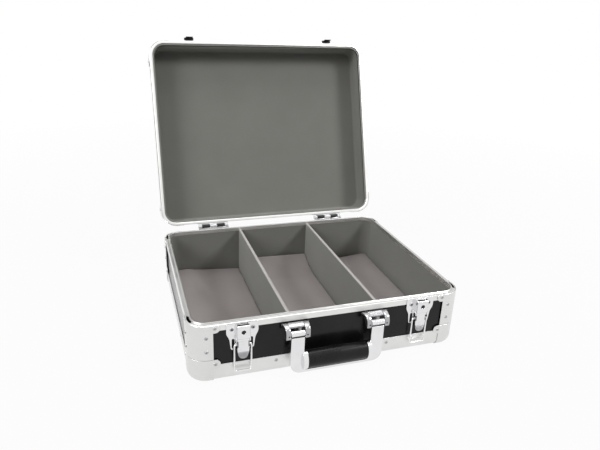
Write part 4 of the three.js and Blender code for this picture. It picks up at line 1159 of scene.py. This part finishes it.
@dataclass
class Linings:
    """The felt of the base, its two dividers and the loose floor pads."""

    divider_offset: float = 74.217
    divider_half: float = 2.5
    divider_reach: float = 175.75
    divider_top: float = 100.0
    pad_half: float = 71.3
    pad_reach: float = 175.7
    pad_pitch: float = 148.433
    pad_thickness: float = 2.6
    pad_corner: float = 8.0
    corner_start: Pair = (0.72, 0.885)
    right_drawn: float = 0.045
    fold_proud: Pair = (0.12, 0.1)
    fold_height: float = 2.2
    crease: Pair = (2.2, 0.12)
    crease_line: Triple = (0.8, 0.55, -0.1)
    wave_level: float = 0.7
    wave_height: float = 0.9
    wave_counts: Pair = (1.3, 2.4)
    curl_start: float = 3.0
    curl_drawn: float = 0.0012
    rear_rise: tuple[Triple, ...] = ((6.5, -6.5, 0.4), (24.0, -2.0, 0.45), (3.0, 3.0, 0.4))

    def walls(self) -> None:
        """The felt round the inner walls."""
        low, high = CASE.floor, CASE.parting - 5.75
        ring = Sweep.ring([(CASE.lining_inset, low), (CASE.lining_inset, high),
                           (CASE.inner_inset, high), (CASE.inner_inset, low)], CASE.ring_steps)
        Piece.finish("base_felt", ring, "base", "lining", Finishes.lining, replaces="base_lining")

    def dividers(self) -> None:
        """Felt-covered boards, with a lighter strip folded over the top edge whose lightness is
        partly its own and partly painted light.
        """
        for side in Side:
            middle = side.value * self.divider_offset
            top = self.divider_top
            for name, (thick, long), heights, bevel, finish, node in (
                    ("board", (0.0, 0.0), (CASE.floor, top - 0.4), (0.8, 3), Finishes.lining,
                     f"divider_{side.word}"),
                    ("edging", self.fold_proud, (top - self.fold_height, top), (1.0, 4),
                     Finishes.edging, "")):
                half, reach = self.divider_half + thick, self.divider_reach + long
                board = Shape().box((middle - half, middle + half), (-reach, reach), heights)
                Piece.finish(f"divider_{name}_{side.word}", board.bevel(*bevel), "base", "lining",
                             finish, replaces=node)

    def lift(self, pad: int, across: float, along: float) -> float:
        """How far a floor pad stands off the floor.

        Args:
            pad: -1, 0 or 1, counted from the middle compartment.
            across: -1 at its left edge to 1 at its right.
            along: -1 at its front edge to 1 at its rear.

        Returns:
            The height in millimetres.
        """
        wide, long = self.wave_counts
        wave = noise.noise(Vector((across * wide + 7.1 * pad, along * long, 0.4)))
        rise = self.wave_level + self.wave_height * wave
        if pad == -1:
            height, width = self.crease
            slant, lean, start = self.crease_line
            aside = across * slant + along * lean + start
            rise += height * math.exp(-(aside / width) ** 2) * max(0.0, min(1.0, along + 0.6))
        height, tilt, reach = self.rear_rise[pad + 1]
        rise += (height + tilt * across) * max(0.0, (along - 1.0 + reach) / reach) ** 2
        return max(0.05, rise)

    def pads(self) -> None:
        """Three loose felt pads, each lying a little uneven."""
        for number, word in enumerate(("left", "middle", "right"), -1):
            shape = Shape()
            bmesh.ops.create_grid(shape.bm, x_segments=30, y_segments=72, size=1.0)
            for vert in shape.bm.verts:
                vert.co = self.lie(number, vert.co.x, vert.co.y)
            made = Piece.finish(f"loose_pad_{word}", shape, "base", "pad", Finishes.pad,
                                replaces=f"floor_pad_{word}")
            Piece.thicken(made, "Felt", self.pad_thickness, 1.0, even=False)
            soft = made.modifiers.new("Soften", "SUBSURF")
            soft.levels = soft.render_levels = 1

    def lie(self, pad: int, across: float, along: float) -> Vector:
        """Where a point of a pad lies; the three values are those that lift takes."""
        rise = self.lift(pad, across, along)
        pull = 0.0
        if pad and across * pad > 0.6 and abs(along) > 0.8:
            past = vec(*(max((abs(value) - start) / (1.0 - start), 0)
                         for value, start in zip((across, along), self.corner_start)), 0)
            pull = self.pad_corner * max(0.0, past.length - 1.0)
        shorter = 1.0 - self.curl_drawn * max(0.0, rise - self.curl_start)
        if pad == 1:
            shorter -= self.right_drawn * (1.0 - across) * max(0.0, along) ** 8
        return vec(pad * self.pad_pitch + across * (self.pad_half - pull),
                   along * (self.pad_reach * shorter - pull), CASE.floor + 0.1 + rise)

    def build(self) -> None:
        """Makes the lining, dividers and pads."""
        self.walls()
        self.dividers()
        self.pads()


# Latches and catches


PLATE_BACK, PLATE_FACE, PAD_BACK = 0.25, 1.75, -1.4
LARGE_SCREW, SMALL_SCREW = (3.3, 1.2), (2.6, 0.9)


@dataclass
class Sided:
    """Pieces that the case has on the left and on the right."""

    side: Side

    def own(self, word: str) -> str:
        """A name with this side's word after it."""
        return f"{word}_{self.side.word}"

    def finish(self, name: str, shape: Shape, body: str, slot: str, *finishes: Finish,
               replaces: str = "", round_off: float = 0.0) -> bpy.types.Object:
        """Makes a shape an object of this side; base and lid are the bodies of both sides."""
        return Piece.finish(self.own(name), shape,
                            body if body in ("base", "lid") else self.own(body), slot, *finishes,
                            replaces=self.own(replaces) if replaces else "", round_off=round_off)


@dataclass
class Latch(Sided):
    """A draw latch: plate, lock housing, key plug, thumb lever and wire bail."""

    offset: float = 149.0
    pad_top: float = -10.25
    window: Pair = (14.1, 2.19)
    window_heights: Pair = (-43.2, -26.3)
    housing_half: float = 10.0
    housing_depth: float = 11.75
    housing_heights: Pair = (-23.0, -0.8)
    nose_slot: tuple[Pair, ...] = ((-8.8, 8.8), (-5.8, 2.0), (6.05, 9.55))
    pivot: Pair = (6.75, -26.5)
    cheek: Triple = (9.6, 11.1, 3.2)
    key_height: float = -11.5
    key_radius: float = 3.3
    lever_half: float = 9.1
    lever_cheek: float = 1.7
    thumb: Pair = (-46.5, -58.5)
    ridge_pitch: float = 1.55
    bail_height: float = 5.15
    bail_top: float = -35.0
    bail_low: float = -82.0
    bail_half: float = 13.1
    wire: float = 1.45
    screws: Pair = (16.2, -10.0)

    @property
    def x(self) -> float:
        """The latch's middle."""
        return self.side.value * self.offset

    def upright(self, shape: Shape) -> Shape:
        """Stands a drawing up on the front of the case."""
        return shape.upright(self.x, CASE.front, CASE.parting)

    def outline(self) -> list[Triple]:
        """The shouldered outline of the plate with its two arms."""
        half = [(24.5, -0.4, 3.0), (24.5, -18.0, 3.5), (20.0, -26.0, 3.5), (17.6, -45.5, 3.0),
                (10.8, -45.5, 1.5), (10.8, -40.0, 0.0)]
        return [(-x, z, r) for x, z, r in half] + half[::-1]

    def plate(self) -> None:
        """The plate with its padding, the cheeks that carry the lever, and the screws."""
        middle, radius = self.window
        holes = [rectangle((side * middle - radius, side * middle + radius), self.window_heights,
                           radius * 0.98) for side in (-1, 1)]
        whole = Shape().plate(self.outline(), PLATE_BACK, PLATE_FACE, holes)
        behind = Shape().plate(self.outline(), PAD_BACK, PLATE_BACK + 0.4, holes)
        whole.add(behind.cut(vec(0, self.pad_top, 0), vec(0, 1, 0)))
        inner, outer, radius = self.cheek
        height, level = self.pivot
        for side in (-1, 1):
            ear = Shape().plate([
                (1.2, level - radius, 0.6), (height + radius, level - radius, radius * 0.98),
                (height + radius, level + radius, radius * 0.98),
                (1.2, level + radius + 1.4, 1.2)], inner, outer)
            whole.add(ear.move(Matrix(((0, 0, side, 0), (0, 1, 0, 0), (1, 0, 0, 0), (0, 0, 0, 1)))))
        self.upright(whole)
        x, z = self.screws
        for side, turn in ((-1, 0.3), (1, 0.95)):
            place = self.x + side * x, CASE.front - PLATE_FACE, CASE.parting + z
            whole.add(Screws(*LARGE_SCREW).at(*place, turn))
        self.finish("latch_body", whole, "base", "chrome", Finishes.chrome, Finishes.dark,
                    Finishes.serrated, replaces="latch_plate", round_off=0.3)

    def housing(self) -> None:
        """The raised lock housing, slotted on top and bored for the key plug; the slot's faces are
        painted black as shade.
        """
        half, face = self.housing_half, self.housing_depth
        block = Shape().plate(rectangle((-half, half), self.housing_heights, 1.6), 1.0, face)
        block.bevel(1.3, 3, lambda e: all(v.co.z > face - TINY for v in e.verts))
        made = self.finish("lock_housing", self.upright(block), "base", "chrome", Finishes.chrome,
                           Finishes.dark, round_off=0.3)
        # Painted shade: the nose slot's faces take the near-black finish.
        cutter = Shape().box(*self.nose_slot).paint(1)
        bore = Shape().post(self.key_radius + 0.15, (0, self.key_height, face - 2.4), 8.0)
        Piece.carve(made, self.upright(cutter.add(bore)))

    def key_plug(self) -> None:
        """The dark key plug with its keyway."""
        face, level = self.housing_depth, self.key_height
        plug = Shape().post(self.key_radius, (0, level, face - 3.45), 6.0)
        made = self.finish("key_plug", self.upright(plug), "cylinder", "plug", Finishes.plug,
                           replaces="lock_cylinder", round_off=0.25)
        way = Shape().plate([(-0.55, level - 2.3, 0.0), (0.55, level - 2.3, 0.0),
                             (1.1, level + 2.1, 0.5), (-1.1, level + 2.1, 0.5)],
                            face - 3.0, face + 1)
        Piece.carve(made, self.upright(way))

    def lever(self) -> None:
        """The thumb lever, with its serrated grey tip."""
        height, level = self.pivot
        half, (near, far) = self.lever_half, self.thumb
        front, back = height + 2.3, height + 0.5
        whole = Shape().plate([
            (-half, level, 0.0), (-half, near, 4.0), (-5.4, far, 5.0), (5.4, far, 5.0),
            (half, near, 4.0), (half, level, 0.0)], back, front)
        thumb = Shape().plate([
            (0.4 - half, near - 0.3, 0.5), (-5.2, far + 0.3, 4.9), (5.2, far + 0.3, 4.9),
            (half - 0.4, near - 0.3, 0.5)], front - 0.2, front + 0.75)
        thumb.bevel(0.4)
        for row in range(6):
            z = near - 1.7 - self.ridge_pitch * row
            reach = half - 1.4 - 0.36 * max(0.0, -z - 47.0)
            thumb.rod(0.62, (-reach, reach), z, front + 0.85, 12)
        whole.add(thumb.paint(1))
        cheeks = Shape()
        for side in (-1, 1):
            cheeks.box(sorted((side * (half - self.lever_cheek), side * half)), (-38.5, level),
                       (height - 4.0, front))
        whole.add(cheeks).rod(3.0, (-half, half), level, height)
        self.finish("thumb_lever", self.upright(whole), "lever", "chrome", Finishes.chrome,
                    Finishes.serrated, replaces="latch_lever", round_off=0.3)

    def pin(self) -> None:
        """The lever's axle."""
        height, level = self.pivot
        reach = self.cheek[1]
        rod = Shape().rod(1.3, (-reach, reach))
        self.finish("lever_axle", rod.shift(self.x, CASE.front - height, CASE.parting + level),
                    "base", "steel", Finishes.steel, replaces="latch_pin", round_off=0.3)

    def bail(self) -> None:
        """The wire bail that hangs from the lever's cheeks."""
        y = CASE.front - self.bail_height
        top, low = CASE.parting + self.bail_top, CASE.parting + self.bail_low
        foot, corner, end = 3.0, 3.4, self.lever_half - self.lever_cheek
        left, right = self.x - self.bail_half, self.x + self.bail_half
        in_step = end + foot - self.bail_half
        sweep = Sweep([vec(self.x - end, y + self.wire * math.cos(at),
                           top + self.wire * math.sin(at))
                       for at in (2 * math.pi * step / 16 for step in range(16))])
        for step, centre in (
                ((in_step, 0, 0), (left + foot, y, top - foot)),
                ((0, 0, low - top + foot + corner), (left + corner, y, low + corner)),
                ((2 * (self.bail_half - corner), 0, 0), (right - corner, y, low + corner)),
                ((0, 0, top - low - foot - corner), (right - foot, y, top - foot))):
            sweep.straight(vec(*step)).bend(vec(*centre), vec(0, -1, 0), QUARTER, 8)
        sweep.straight(vec(in_step, 0, 0)).capped()
        self.finish("wire_bail", sweep, "bail", "chrome", Finishes.chrome, replaces="latch_bail")

    def build(self) -> None:
        """Makes the whole latch."""
        self.plate()
        self.housing()
        self.key_plug()
        self.lever()
        self.pin()
        self.bail()


@dataclass
class Catch(Sided):
    """The catch on the lid that a bail hooks over, with the nose that enters the lock."""

    offset: float = 149.0
    half: float = 14.0
    heights: Pair = (1.5, 26.0)
    pad_low: float = 10.25
    hook_half: float = 9.4
    shelf: Pair = (8.45, 9.85)
    hook_top: float = 14.85
    lip: Pair = (7.75, 9.15)
    nose: tuple[Pair, ...] = ((-7.0, 7.0), (-3.5, 9.15), (7.2, 8.4))
    screws: Pair = (8.0, 20.0)

    def build(self) -> None:
        """Makes the catch, drawn shut and then turned open."""
        outline = rectangle((-self.half, self.half), self.heights, 3.0)
        whole = Shape().plate(outline, PLATE_BACK, PLATE_FACE)
        behind = Shape().plate(outline, PAD_BACK, 0.6)
        whole.add(behind.cut(vec(0, self.pad_low, 0), vec(0, -1, 0)))
        reach, shelf, face = (-self.hook_half, self.hook_half), self.shelf[0], self.lip[1]
        hook = Shape().box(reach, self.shelf, (1.0, face))
        hook.box(reach, (shelf, self.hook_top), self.lip)
        # Painted shade: the underside and hollow of the hook take the near-black finish.
        hook.paint(1, lambda at: at.y < shelf + TINY and at.z < face - TINY)
        whole.add(hook).add(Shape().box(*self.nose).paint(3))
        x, (across, level) = self.side.value * self.offset, self.screws
        whole.upright(x, CASE.front, CASE.lid_base)
        for side, turn in ((-1, 0.6), (1, 0.1)):
            place = x + across * side, CASE.front - PLATE_FACE, CASE.lid_base + level
            whole.add(Screws(*SMALL_SCREW).at(*place, turn))
        self.finish("catch_hook", whole.move(CASE.opened()), "lid", "chrome", Finishes.chrome,
                    Finishes.dark, Finishes.serrated, Finishes.plug, replaces="lid_catch",
                    round_off=0.3)


# Handle


@dataclass
class CarryingHandle:
    """Two cast brackets, a chromed frame and a black grip."""

    offset: float = 66.5
    pivot: Pair = (16.0, -24.0)
    arm_half: float = 11.0
    arm_thickness: float = 8.0
    ear_inner: float = 11.7
    ear_outer: float = 21.8
    ear_nose: float = 19.4
    neck: float = 5.7
    bar_low: float = -94.0
    bar_thickness: float = 5.0
    grip_half: float = 50.0
    grip_depth: float = 12.5
    grip_height: float = 15.3
    grip_level: float = -73.3
    grip_taper: float = 0.045
    flange: tuple[float, float, float, float] = (1.0, 11.6, 15.8, 1.0)
    plate_face: float = 2.05
    hood_half: float = 12.5
    dimple: Triple = (14.6, 20.4, 25.4)
    screws: tuple[Pair, Pair] = ((20.5, 0.2), (30.5, 0.7))
    pin: Pair = (2.4, 19.0)
    barrel: float = 4.6

    @staticmethod
    def across(shape: Shape) -> Shape:
        """Turns a side view, drawn as stand-off and height, to face along X."""
        return shape.move(Matrix(((0, 0, 1, 0), (-1, 0, 0, 0), (0, 1, 0, 0), (0, 0, 0, 1))))

    def bracket(self, side: Side) -> None:
        """One bracket: plate, two ears that curve out round the arm, hood between them and pin."""
        x = side.value * self.offset
        outline = [(-10.2, -35, 3), (10.2, -35, 3), (10.2, -15.5, 0), (21.8, -15.5, 0),
                   (21.8, -12, 0), (-21.8, -12, 0), (-21.8, -15.5, 0), (-10.2, -15.5, 0)]
        face, y = self.plate_face, CASE.front
        whole = Shape().plate(outline, PLATE_BACK, face)
        whole.add(Shape().plate(outline, PAD_BACK, 0.6)).upright()
        height, level = self.pivot
        side_view = [(1.15, -12.0, 0.0), (1.15, -15.5, 0.0), (5.0, -16.0, 1.5), (9.0, -18.8, 1.5),
                     (11.6, -23.4, 1.5), (12.4, -28.0, 1.5), (13.2, -32.0, 1.0), (18.6, -32.0, 0.9),
                     (20.1, -30.6, 0.9), (20.6, -24.0, 2.4), (19.8, -19.0, 2.4), (17.0, -14.6, 2.4),
                     (12.0, -12.4, 2.4)]
        outer, nose = self.ear_outer, self.ear_nose
        for near, far in ((-outer, -self.ear_inner), (self.ear_inner, outer)):
            ear = self.across(Shape().plate(side_view, near, far, segments=3))
            for vert in ear.bm.verts:
                if abs(vert.co.x) > nose:
                    share = min(1.0, -vert.co.y / height)
                    vert.co.x = math.copysign(outer + (nose - outer) * share, vert.co.x)
            whole.add(ear.bevel(1.1, 3))
        hood = Shape().plate([(1.15, -15.0, 0.0), (11.05, -17.2, 0.8), (11.05, -14.2, 1.2),
                              (1.15, -12.0, 0.0)], -self.hood_half, self.hood_half)
        whole.add(self.across(hood)).shift(x, y, CASE.parting)
        for drop, turn in self.screws:
            whole.add(Screws(*SMALL_SCREW).at(x, y - face, CASE.parting - drop, turn))
        # Painted shade: the dimples are black discs that stand for the shade in them.
        across, out, drop = self.dimple
        for end in (-1, 1):
            dimple = Shape().rod(1.25, (0, 0.25), 0, 0, 16).move(Matrix.Rotation(-QUARTER, 4, "Z"))
            whole.add(dimple.paint(1).shift(x + end * across, y - out, CASE.parting - drop))
        Piece.finish(f"bracket_{side.word}", whole, "base", "chrome", Finishes.cast, Finishes.dark,
                     Finishes.rivet, replaces=f"handle_bracket_{side.word}", round_off=0.3)
        radius, reach = self.pin
        pin = Shape().rod(radius, (x - reach, x + reach), y - height, CASE.parting + level)
        Piece.finish(f"bracket_pin_{side.word}", pin, "base", "steel", Finishes.steel,
                     replaces=f"handle_pin_{side.word}", round_off=0.4)

    def frame_piece(self) -> None:
        """The chromed frame: arms, barrels, the bar under the grip and its end flanges, with a
        black neck under each barrel as painted shade.
        """
        outer, inner = self.offset + self.arm_half, self.offset - self.arm_half
        height, level = self.pivot
        half = self.arm_thickness / 2
        low, high = self.bar_low, self.bar_low + self.bar_thickness
        top = level - self.neck
        outline = [(-outer, top, 0), (-outer, low, 16.5), (outer, low, 16.5), (outer, top, 0),
                   (inner, top, 0), (inner, high, 5.0), (-inner, high, 5.0), (-inner, top, 0)]
        arms = Shape().plate(outline, height - half, height + half, segments=10)
        arms.bevel(1.6, 4, lambda e: all(v.co.z > height for v in e.verts))
        arms.bevel(1.0, 3, lambda e: all(v.co.z < height for v in e.verts))
        arms.upright(0, CASE.front, CASE.parting)
        y, z = CASE.front - height, CASE.parting + level
        for side in (-1, 1):
            x = sorted((side * inner, side * outer))
            arms.rod(self.barrel, x, y, z)
            # Painted shade: a black block between barrel and arm stands for the shade in the gap
            # there.
            neck = Shape().box((x[0] + 0.6, x[1] - 0.6), (y - 2.6, y + 3.4),
                               (z - self.neck - 1.0, z))
            arms.add(neck.paint(1))
            ends = sorted((side * (self.grip_half + 0.4), side * (inner + 2.5)))
            place = Matrix.Translation((0, y, CASE.parting + self.grip_level))
            arms.add(Shape().rod(1.0, ends, 0, 0, 40).move(place @ Matrix.Diagonal(self.flange)))
        Piece.finish("carrying_frame", arms, "handle", "chrome", Finishes.chrome, Finishes.dark,
                     replaces="handle_frame", round_off=0.35)

    def grip(self) -> None:
        """The black oval grip, a little fuller in its middle."""
        shape = Shape()
        bmesh.ops.create_cone(shape.bm, cap_ends=True, segments=56, radius1=1.0, radius2=1.0,
                              depth=2 * self.grip_half)
        shape.move(Matrix.Rotation(QUARTER, 4, "Y"))
        long = [e for e in shape.bm.edges
                if abs(e.verts[0].co.x - e.verts[1].co.x) > self.grip_half]
        bmesh.ops.subdivide_edges(shape.bm, edges=long, cuts=24, use_grid_fill=False)
        for vert in shape.bm.verts:
            full = 1.0 - self.grip_taper * (abs(vert.co.x) / self.grip_half) ** 2
            vert.co.y *= self.grip_depth * full
            vert.co.z *= self.grip_height * full
        shape.shift(0, CASE.front - self.pivot[0], CASE.parting + self.grip_level)
        Piece.finish("oval_grip", shape, "handle", "grip", Finishes.grip, replaces="handle_grip",
                     round_off=1.2)

    def build(self) -> None:
        """Makes the whole handle."""
        for side in Side:
            self.bracket(side)
        self.frame_piece()
        self.grip()


# Hinges


@dataclass
class Hinge(Sided):
    """A butt hinge: one leaf on the base, one on the lid and the pin through both."""

    barrel: float = 3.7

    def build(self) -> None:
        """Refines the solids of the hinge, whose shapes are right."""
        for node, body, name in (("hinge_base_leaf", "base", "lower_leaf"),
                                 ("hinge_lid_leaf", "lid", "upper_leaf"),
                                 ("hinge_pin", "base", "hinge_rod")):
            shape = Piece.copy_of(self.own(node))
            # Painted shade: the lid leaf's barrels take the near-black finish.
            if body == "lid":
                shape.paint(1, self.in_shade)
            self.finish(name, shape, body, "steel", Finishes.steel, Finishes.dark, replaces=node,
                        round_off=0.25)

    def in_shade(self, at: Vector) -> bool:
        """Whether a face belongs to the barrels that carry the lid, which are painted dark as
        shade.
        """
        return math.hypot(at.y - CASE.hinge_y, at.z - CASE.hinge_z) < self.barrel


# Lid


@dataclass
class Lid:
    """The lid: boards, the rim that closes over the lip, rounded edge band and lining."""

    web: float = 4.0
    inner_flange: float = 7.5
    band_fall: float = 26.0
    band_reach: float = 24.0
    step_inset: float = 6.35
    step_height: float = 2.3
    felt: float = 1.65

    def rim(self) -> None:
        """The rim, with the step that clears the base's lip; the step is painted darker and the
        inner flank dark grey, as painted shade.
        """
        outer, back, inner = CASE.trim_inset, CASE.trim_inner, CASE.rim_inner
        low, inside, clear = CASE.lid_base, inner - CASE.gauge, self.step_inset
        step, web, foot = low + self.step_height, low + self.web, low + self.inner_flange
        flange = low + CASE.rim_flange
        ring = Sweep.ring([
            (outer, flange), (back, flange), (back, web), (inside, web), (inside, foot),
            (inner, foot), (inner, step + 0.5), (inner - 0.5, step), (clear + 0.3, step),
            (clear, step - 0.3), (clear, low + 0.5), (clear - 0.5, low), (outer + 0.8, low),
            (outer + 0.2, low + 0.25), (outer, low + 0.9)], CASE.rim_steps)
        # Painted shade: the step and its riser take the darker trim, and the inner flank takes dark
        # grey.
        ring.paint(1, lambda at: CASE.inset(at) > clear - 0.2 and at.z < step + TINY)
        ring.paint(2, lambda at: CASE.inset(at) > clear + 0.4 and step - TINY < at.z < foot - 0.1)
        Piece.finish("lid_rim_trim", ring.move(CASE.opened()), "lid", "trim", Finishes.trim_strip,
                     Finishes.lip, Finishes.flank, replaces="lid_rim", crease=CREASE)

    def band(self) -> None:
        """The rounded trim round the top of the lid."""
        ring = Sweep.ring([(inset, CASE.lid_top - height) for inset, height in
                           edge_profile(self.band_fall, self.band_reach)], CASE.ring_steps)
        Piece.finish("lid_edge_trim", ring.move(CASE.opened()), "lid", "trim", Finishes.trim_strip,
                     replaces="lid_edge_band", round_off=0.25)

    def lining(self) -> None:
        """The felt of the walls and the top, in one with soft inner edges."""
        half_x, half_y = CASE.half_width - CASE.inner_inset, CASE.half_depth - CASE.inner_inset
        low, high = CASE.lid_base + 7.75, CASE.lid_top - CASE.inner_inset
        shape = Shape().box((-half_x, half_x), (-half_y, half_y), (low, high))
        bm = shape.bm
        upright = [e for e in bm.edges if abs(e.verts[0].co.z - e.verts[1].co.z) > 1]
        shape.rounding(upright, CASE.corner - CASE.inner_inset, 12, clamp=False)
        top = [e for e in bm.edges if all(abs(v.co.z - high) < TINY for v in e.verts)]
        shape.rounding(top, 3.0, 4, clamp=False)
        bmesh.ops.delete(bm, geom=[f for f in bm.faces if f.normal.z < -0.9], context="FACES")
        shape.move(CASE.opened())
        made = Piece.finish("lid_felt", shape, "lid", "lining", Finishes.lining,
                            replaces="lid_lining")
        Piece.thicken(made, "Felt", self.felt, 1.0)

    def build(self) -> None:
        """Makes the trim and lining, and dresses the boards."""
        self.rim()
        self.band()
        self.lining()
        for wall in ("top", "front", "rear", "left", "right"):
            Piece.dress(f"lid_{wall}_panel", Finishes.laminate)


# Studio


@dataclass
class Studio:
    """Floor, surround, soft lights and the camera, in metres."""

    camera_place: Triple = (-0.3011, -0.8735, 0.5388)
    azimuth: float = -18.92
    elevation: float = 21.71
    roll: float = 2.36
    lens: float = 32.98
    frame_width: float = 36.0
    clip: Pair = (0.05, 50.0)
    world_glow: float = 0.06
    floor_half: float = 20.0
    floor_gap: float = 0.0005
    aim: Triple = (0.0, 0.0, 0.12)
    lamps: list[tuple[str, Triple, float, float]] = field(default_factory=lambda: [
        ("Left soft light", (-2.03, -0.86, 1.67), 1.1, 39.0),
        ("Right soft light", (1.61, -1.06, 1.84), 0.7, 34.0),
        ("Overhead soft light", (0.0, 0.45, 2.0), 1.5, 26.0),
    ])

    def camera(self) -> None:
        """The camera at the photograph's viewing angle."""
        data = bpy.data.cameras.new("Camera")
        data.sensor_width = self.frame_width
        data.lens = self.lens
        data.clip_start, data.clip_end = self.clip
        camera = bpy.data.objects.new("Camera", data)
        turn = (Matrix.Rotation(math.radians(self.azimuth), 4, "Z")
                @ Matrix.Rotation(math.radians(90 - self.elevation), 4, "X")
                @ Matrix.Rotation(math.radians(self.roll), 4, "Z"))
        camera.matrix_world = Matrix.Translation(self.camera_place) @ turn
        bpy.context.scene.collection.objects.link(camera)
        bpy.context.scene.camera = camera

    def world(self) -> None:
        """An even surround that gives a soft light."""
        world = bpy.data.worlds.new("Studio surround")
        world.use_nodes = True
        bpy.context.scene.world = world
        wiring = Wiring(world.node_tree)
        background = world.node_tree.nodes["Background"]
        wiring.put(background, {"Color": WHITE})
        strength = wiring.ramp(wiring.seen_directly(), 0.0, 1.0, self.world_glow, 1.0)
        wiring.link(strength, background.inputs["Strength"])

    def floor(self) -> None:
        """A wide pale floor, a little under the case."""
        shape = Shape()
        bmesh.ops.create_grid(shape.bm, x_segments=1, y_segments=1, size=self.floor_half / MM)
        floor = Piece.to_object("Floor", shape)
        floor.data.materials.append(Finishes.floor.material())
        floor.location.z = -self.floor_gap

    def lights(self) -> None:
        """The square soft lights, aimed at the case."""
        for name, place, size, power in self.lamps:
            data = bpy.data.lights.new(name, "AREA")
            data.shape = "SQUARE"
            data.size = size
            data.energy = power
            lamp = bpy.data.objects.new(name, data)
            lamp.location = place
            aim = Vector(self.aim) - Vector(place)
            lamp.rotation_euler = aim.to_track_quat("-Z", "Y").to_euler()
            bpy.context.scene.collection.objects.link(lamp)

    def build(self) -> None:
        """Sets the stage."""
        bpy.context.scene.view_settings.view_transform = "Standard"
        self.camera()
        self.world()
        self.floor()
        self.lights()


def main() -> None:
    """Builds the case piece by piece."""
    logging.basicConfig(level=logging.INFO, format="%(message)s")
    parts: list[tuple[str, object]] = [
        ("studio", Studio()), ("base shell", BaseShell()), ("corner guards", CornerGuards()),
        ("linings", Linings()),
        ("left latch", Latch(Side.LEFT)), ("right latch", Latch(Side.RIGHT)),
        ("left catch", Catch(Side.LEFT)), ("right catch", Catch(Side.RIGHT)),
        ("carrying handle", CarryingHandle()),
        ("left hinge", Hinge(Side.LEFT)), ("right hinge", Hinge(Side.RIGHT)), ("lid", Lid())]
    for label, part in parts:
        part.build()
        log.info("built the %s", label)
    bpy.context.view_layer.update()
    log.info("wrote the sizes")


if __name__ == "__main__":
    main()
